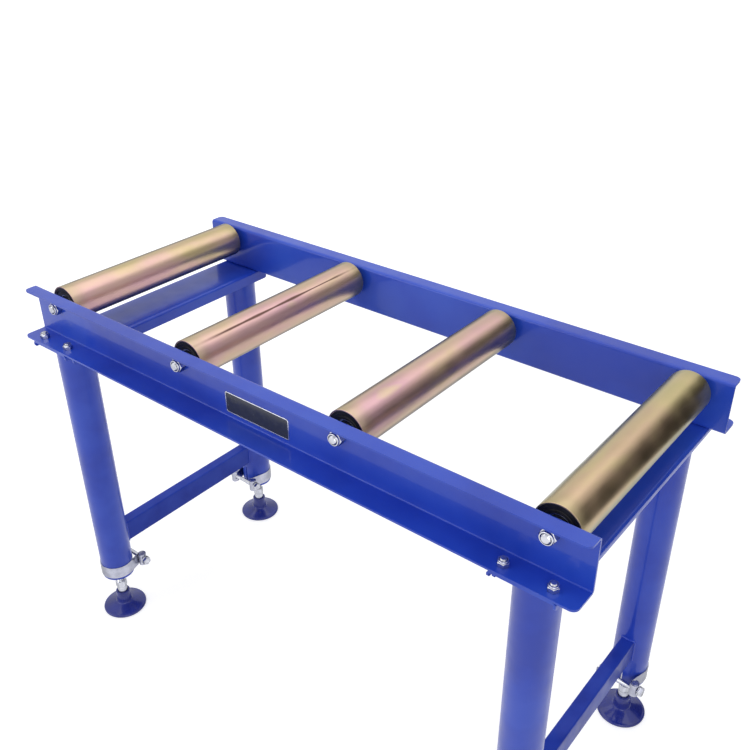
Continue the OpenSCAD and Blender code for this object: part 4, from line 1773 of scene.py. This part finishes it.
@dataclass
class Studio:
    """The pale floor, the soft light and the camera at the photograph's angle."""

    camera_place: Vector3 = (0.763369, -0.877105, 1.264848)
    pitch: float = 30.19
    yaw: float = 39.094
    roll: float = -0.518
    lens: float = 42.911
    sensor: float = 36.0
    nearest: float = 0.05
    farthest: float = 60.0
    world_light: float = 0.5
    floor_half: float = 9.0
    floor_colour: str = "D2D2D4"
    lift_near: float = 0.62
    lift_from: float = 1.0
    lift_to: float = 3.0
    cloth_colour: str = "2E2E30"

    def build_camera(self) -> None:
        """Makes the camera: forward from pitch and yaw, then rolled about its line of sight."""
        t, p, r = (math.radians(a) for a in (self.pitch, self.yaw, self.roll))
        forward = np.array([-math.sin(p) * math.cos(t), math.cos(p) * math.cos(t), -math.sin(t)])
        right = np.array([math.cos(p), math.sin(p), 0.0])
        up = np.cross(right, forward)
        right, up = right * math.cos(r) + up * math.sin(r), up * math.cos(r) - right * math.sin(r)
        data = bpy.data.cameras.new("camera")
        data.lens, data.sensor_width = self.lens, self.sensor
        data.clip_start, data.clip_end = self.nearest, self.farthest
        camera = bpy.data.objects.new("camera", data)
        turn = Matrix(np.stack([right, up, -forward], axis=1).tolist()).to_4x4()
        camera.matrix_world = Matrix.Translation(self.camera_place) @ turn
        bpy.context.scene.collection.objects.link(camera)
        bpy.context.scene.camera = camera

    def seen(self, tree: Tree) -> Socket:
        """Tells the rays of the eye, of reflections and of glass from those that only carry light.

        Args:
            tree: The tree of the world's or the floor's material.

        Returns:
            A socket that is 1 for the former and 0 for the latter.
        """
        rays = add_node(tree, "ShaderNodeLightPath").outputs
        seen = rays["Is Camera Ray"]
        for kind in ("Is Glossy Ray", "Is Transmission Ray"):
            seen = add_node(tree, "ShaderNodeMath", {0: seen, 1: rays[kind]}, operation="MAXIMUM").outputs[0]
        return seen

    def build_world(self) -> None:
        """Makes the world: soft light all round, and white where the eye or a reflection looks."""
        world = bpy.data.worlds.new("studio")
        bpy.context.scene.world = world
        world.use_nodes = True
        tree = world.node_tree
        tree.nodes.clear()
        light = {"Value": self.seen(tree), "To Min": self.world_light, "To Max": 1.0}
        light = add_node(tree, "ShaderNodeMapRange", light).outputs["Result"]
        sky = add_node(tree, "ShaderNodeBackground", {"Color": linear("FFFFFF"), "Strength": light})
        add_node(tree, "ShaderNodeOutputWorld", {"Surface": sky.outputs["Background"]})

    def build_floor(self) -> None:
        """Makes the floor: matte white that keeps a soft shadow, lifted to the paper's white for the eye.

        The lift grows from one to three metres away from the stand, where the lamps' light fades,
        so that the floor runs into the white background without a horizon.
        """
        material = bpy.data.materials.new("white_paper_floor")
        material.use_nodes = True
        tree = material.node_tree
        tree.nodes.clear()
        place = add_node(tree, "ShaderNodeTexCoord").outputs["Object"]
        away = add_node(tree, "ShaderNodeVectorMath", {0: place}, operation="LENGTH").outputs["Value"]
        span = {"From Min": self.lift_from, "From Max": self.lift_to, "To Min": self.lift_near, "To Max": 1.0}
        amount = add_node(tree, "ShaderNodeMapRange", {"Value": away, **span}).outputs["Result"]
        lift = {0: self.seen(tree), 1: amount}
        lift = add_node(tree, "ShaderNodeMath", lift, operation="MULTIPLY").outputs[0]
        matte = add_node(tree, "ShaderNodeBsdfDiffuse", {"Color": linear(self.floor_colour)})
        glow = add_node(tree, "ShaderNodeEmission", {"Color": linear("FFFFFF"), "Strength": lift})
        both = add_node(tree, "ShaderNodeAddShader", {0: matte.outputs[0], 1: glow.outputs[0]})
        add_node(tree, "ShaderNodeOutputMaterial", {"Surface": both.outputs[0]})
        h = self.floor_half
        mesh = bpy.data.meshes.new("floor")
        mesh.from_pydata([(-h, -h, 0), (h, -h, 0), (h, h, 0), (-h, h, 0)], [], [(0, 1, 2, 3)])
        mesh.materials.append(material)
        floor = bpy.data.objects.new("floor", mesh)
        bpy.context.scene.collection.objects.link(floor)

    def build_flag(self, name: str, place: Vector3, aim: Vector3, size: tuple[float, float]) -> None:
        """Makes a dark card that only reflections see, as a photographer's flag is.

        Args:
            name: The card's name.
            place: Its middle in metres.
            aim: The point that it faces.
            size: Its width and height in metres.
        """
        material = bpy.data.materials.get("dark_flag_cloth")
        if not material:
            material = bpy.data.materials.new("dark_flag_cloth")
            material.use_nodes = True
            tree = material.node_tree
            tree.nodes.clear()
            cloth = add_node(tree, "ShaderNodeBsdfDiffuse", {"Color": linear(self.cloth_colour)})
            add_node(tree, "ShaderNodeOutputMaterial", {"Surface": cloth.outputs[0]})
        side, up, _ = aimed(place, aim)
        share = np.array([(-0.5, -0.5), (0.5, -0.5), (0.5, 0.5), (-0.5, 0.5)]) * size
        corners = np.array(place) + share @ np.stack([side, up])
        mesh = bpy.data.meshes.new(name)
        mesh.from_pydata(corners.tolist(), [], [(0, 1, 2, 3)])
        mesh.materials.append(material)
        card = bpy.data.objects.new(name, mesh)
        bpy.context.scene.collection.objects.link(card)
        card.visible_camera = False
        card.visible_shadow = False
        card.visible_diffuse = False

    def build_lamp(
        self, name: str, place: Vector3, aim: Vector3, size: tuple[float, float], watts: float
    ) -> None:
        """Makes a soft box.

        Args:
            name: The lamp's name.
            place: Its middle in metres.
            aim: The point that it lights.
            size: Its width and height in metres.
            watts: Its power.
        """
        data = bpy.data.lights.new(name, "AREA")
        data.shape = "RECTANGLE"
        data.size, data.size_y = size
        data.energy = watts
        lamp = bpy.data.objects.new(name, data)
        side, up, ahead = aimed(place, aim)
        turn = Matrix(np.stack([side, up, -ahead], axis=1).tolist()).to_4x4()
        lamp.matrix_world = Matrix.Translation(place) @ turn
        bpy.context.scene.collection.objects.link(lamp)

    def build(self) -> None:
        """Makes camera, world and floor, three soft boxes, and the dark cards that the metal mirrors."""
        bpy.context.scene.view_settings.view_transform = "Standard"
        self.build_camera()
        self.build_world()
        self.build_floor()
        middle = (0.0, 0.0, 0.4)
        self.build_lamp("soft_box_front_left", (-1.6, -2.4, 1.7), middle, (1.6, 1.6), 15.0)
        self.build_lamp("soft_box_front_right", (1.9, -2.0, 1.5), middle, (1.2, 1.6), 12.0)
        self.build_lamp("soft_box_above", (-0.2, 0.3, 2.6), middle, (3.0, 2.4), 19.0)
        self.build_flag("flag_behind_right", (3.6, 6.4, 2.7), (0.0, 0.0, 2.7), (5.4, 5.4))
        self.build_flag("flag_low_right", (1.15, 0.62, 0.47), (1.15, 0.0, 0.47), (1.1, 0.3))
        self.build_flag("flag_near_right", (1.3, 0.62, 0.86), (1.3, 0.0, 0.86), (0.74, 0.48))


def main() -> None:
    """Builds the studio and every sub-assembly."""
    logging.basicConfig(level=logging.INFO, format="%(name)s: %(message)s")
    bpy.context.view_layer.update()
    Studio().build()
    for assembly in (
        FoldedRails(),
        CrossChannels(),
        Legs(),
        FlangeBolts(),
        Rollers(),
        LegClamps(),
        LevellingFeet(),
        NamePlate(),
        SmallParts(),
    ):
        LOG.info("building %s", type(assembly).__name__)
        assembly.build()


if __name__ == "__main__":
    main()
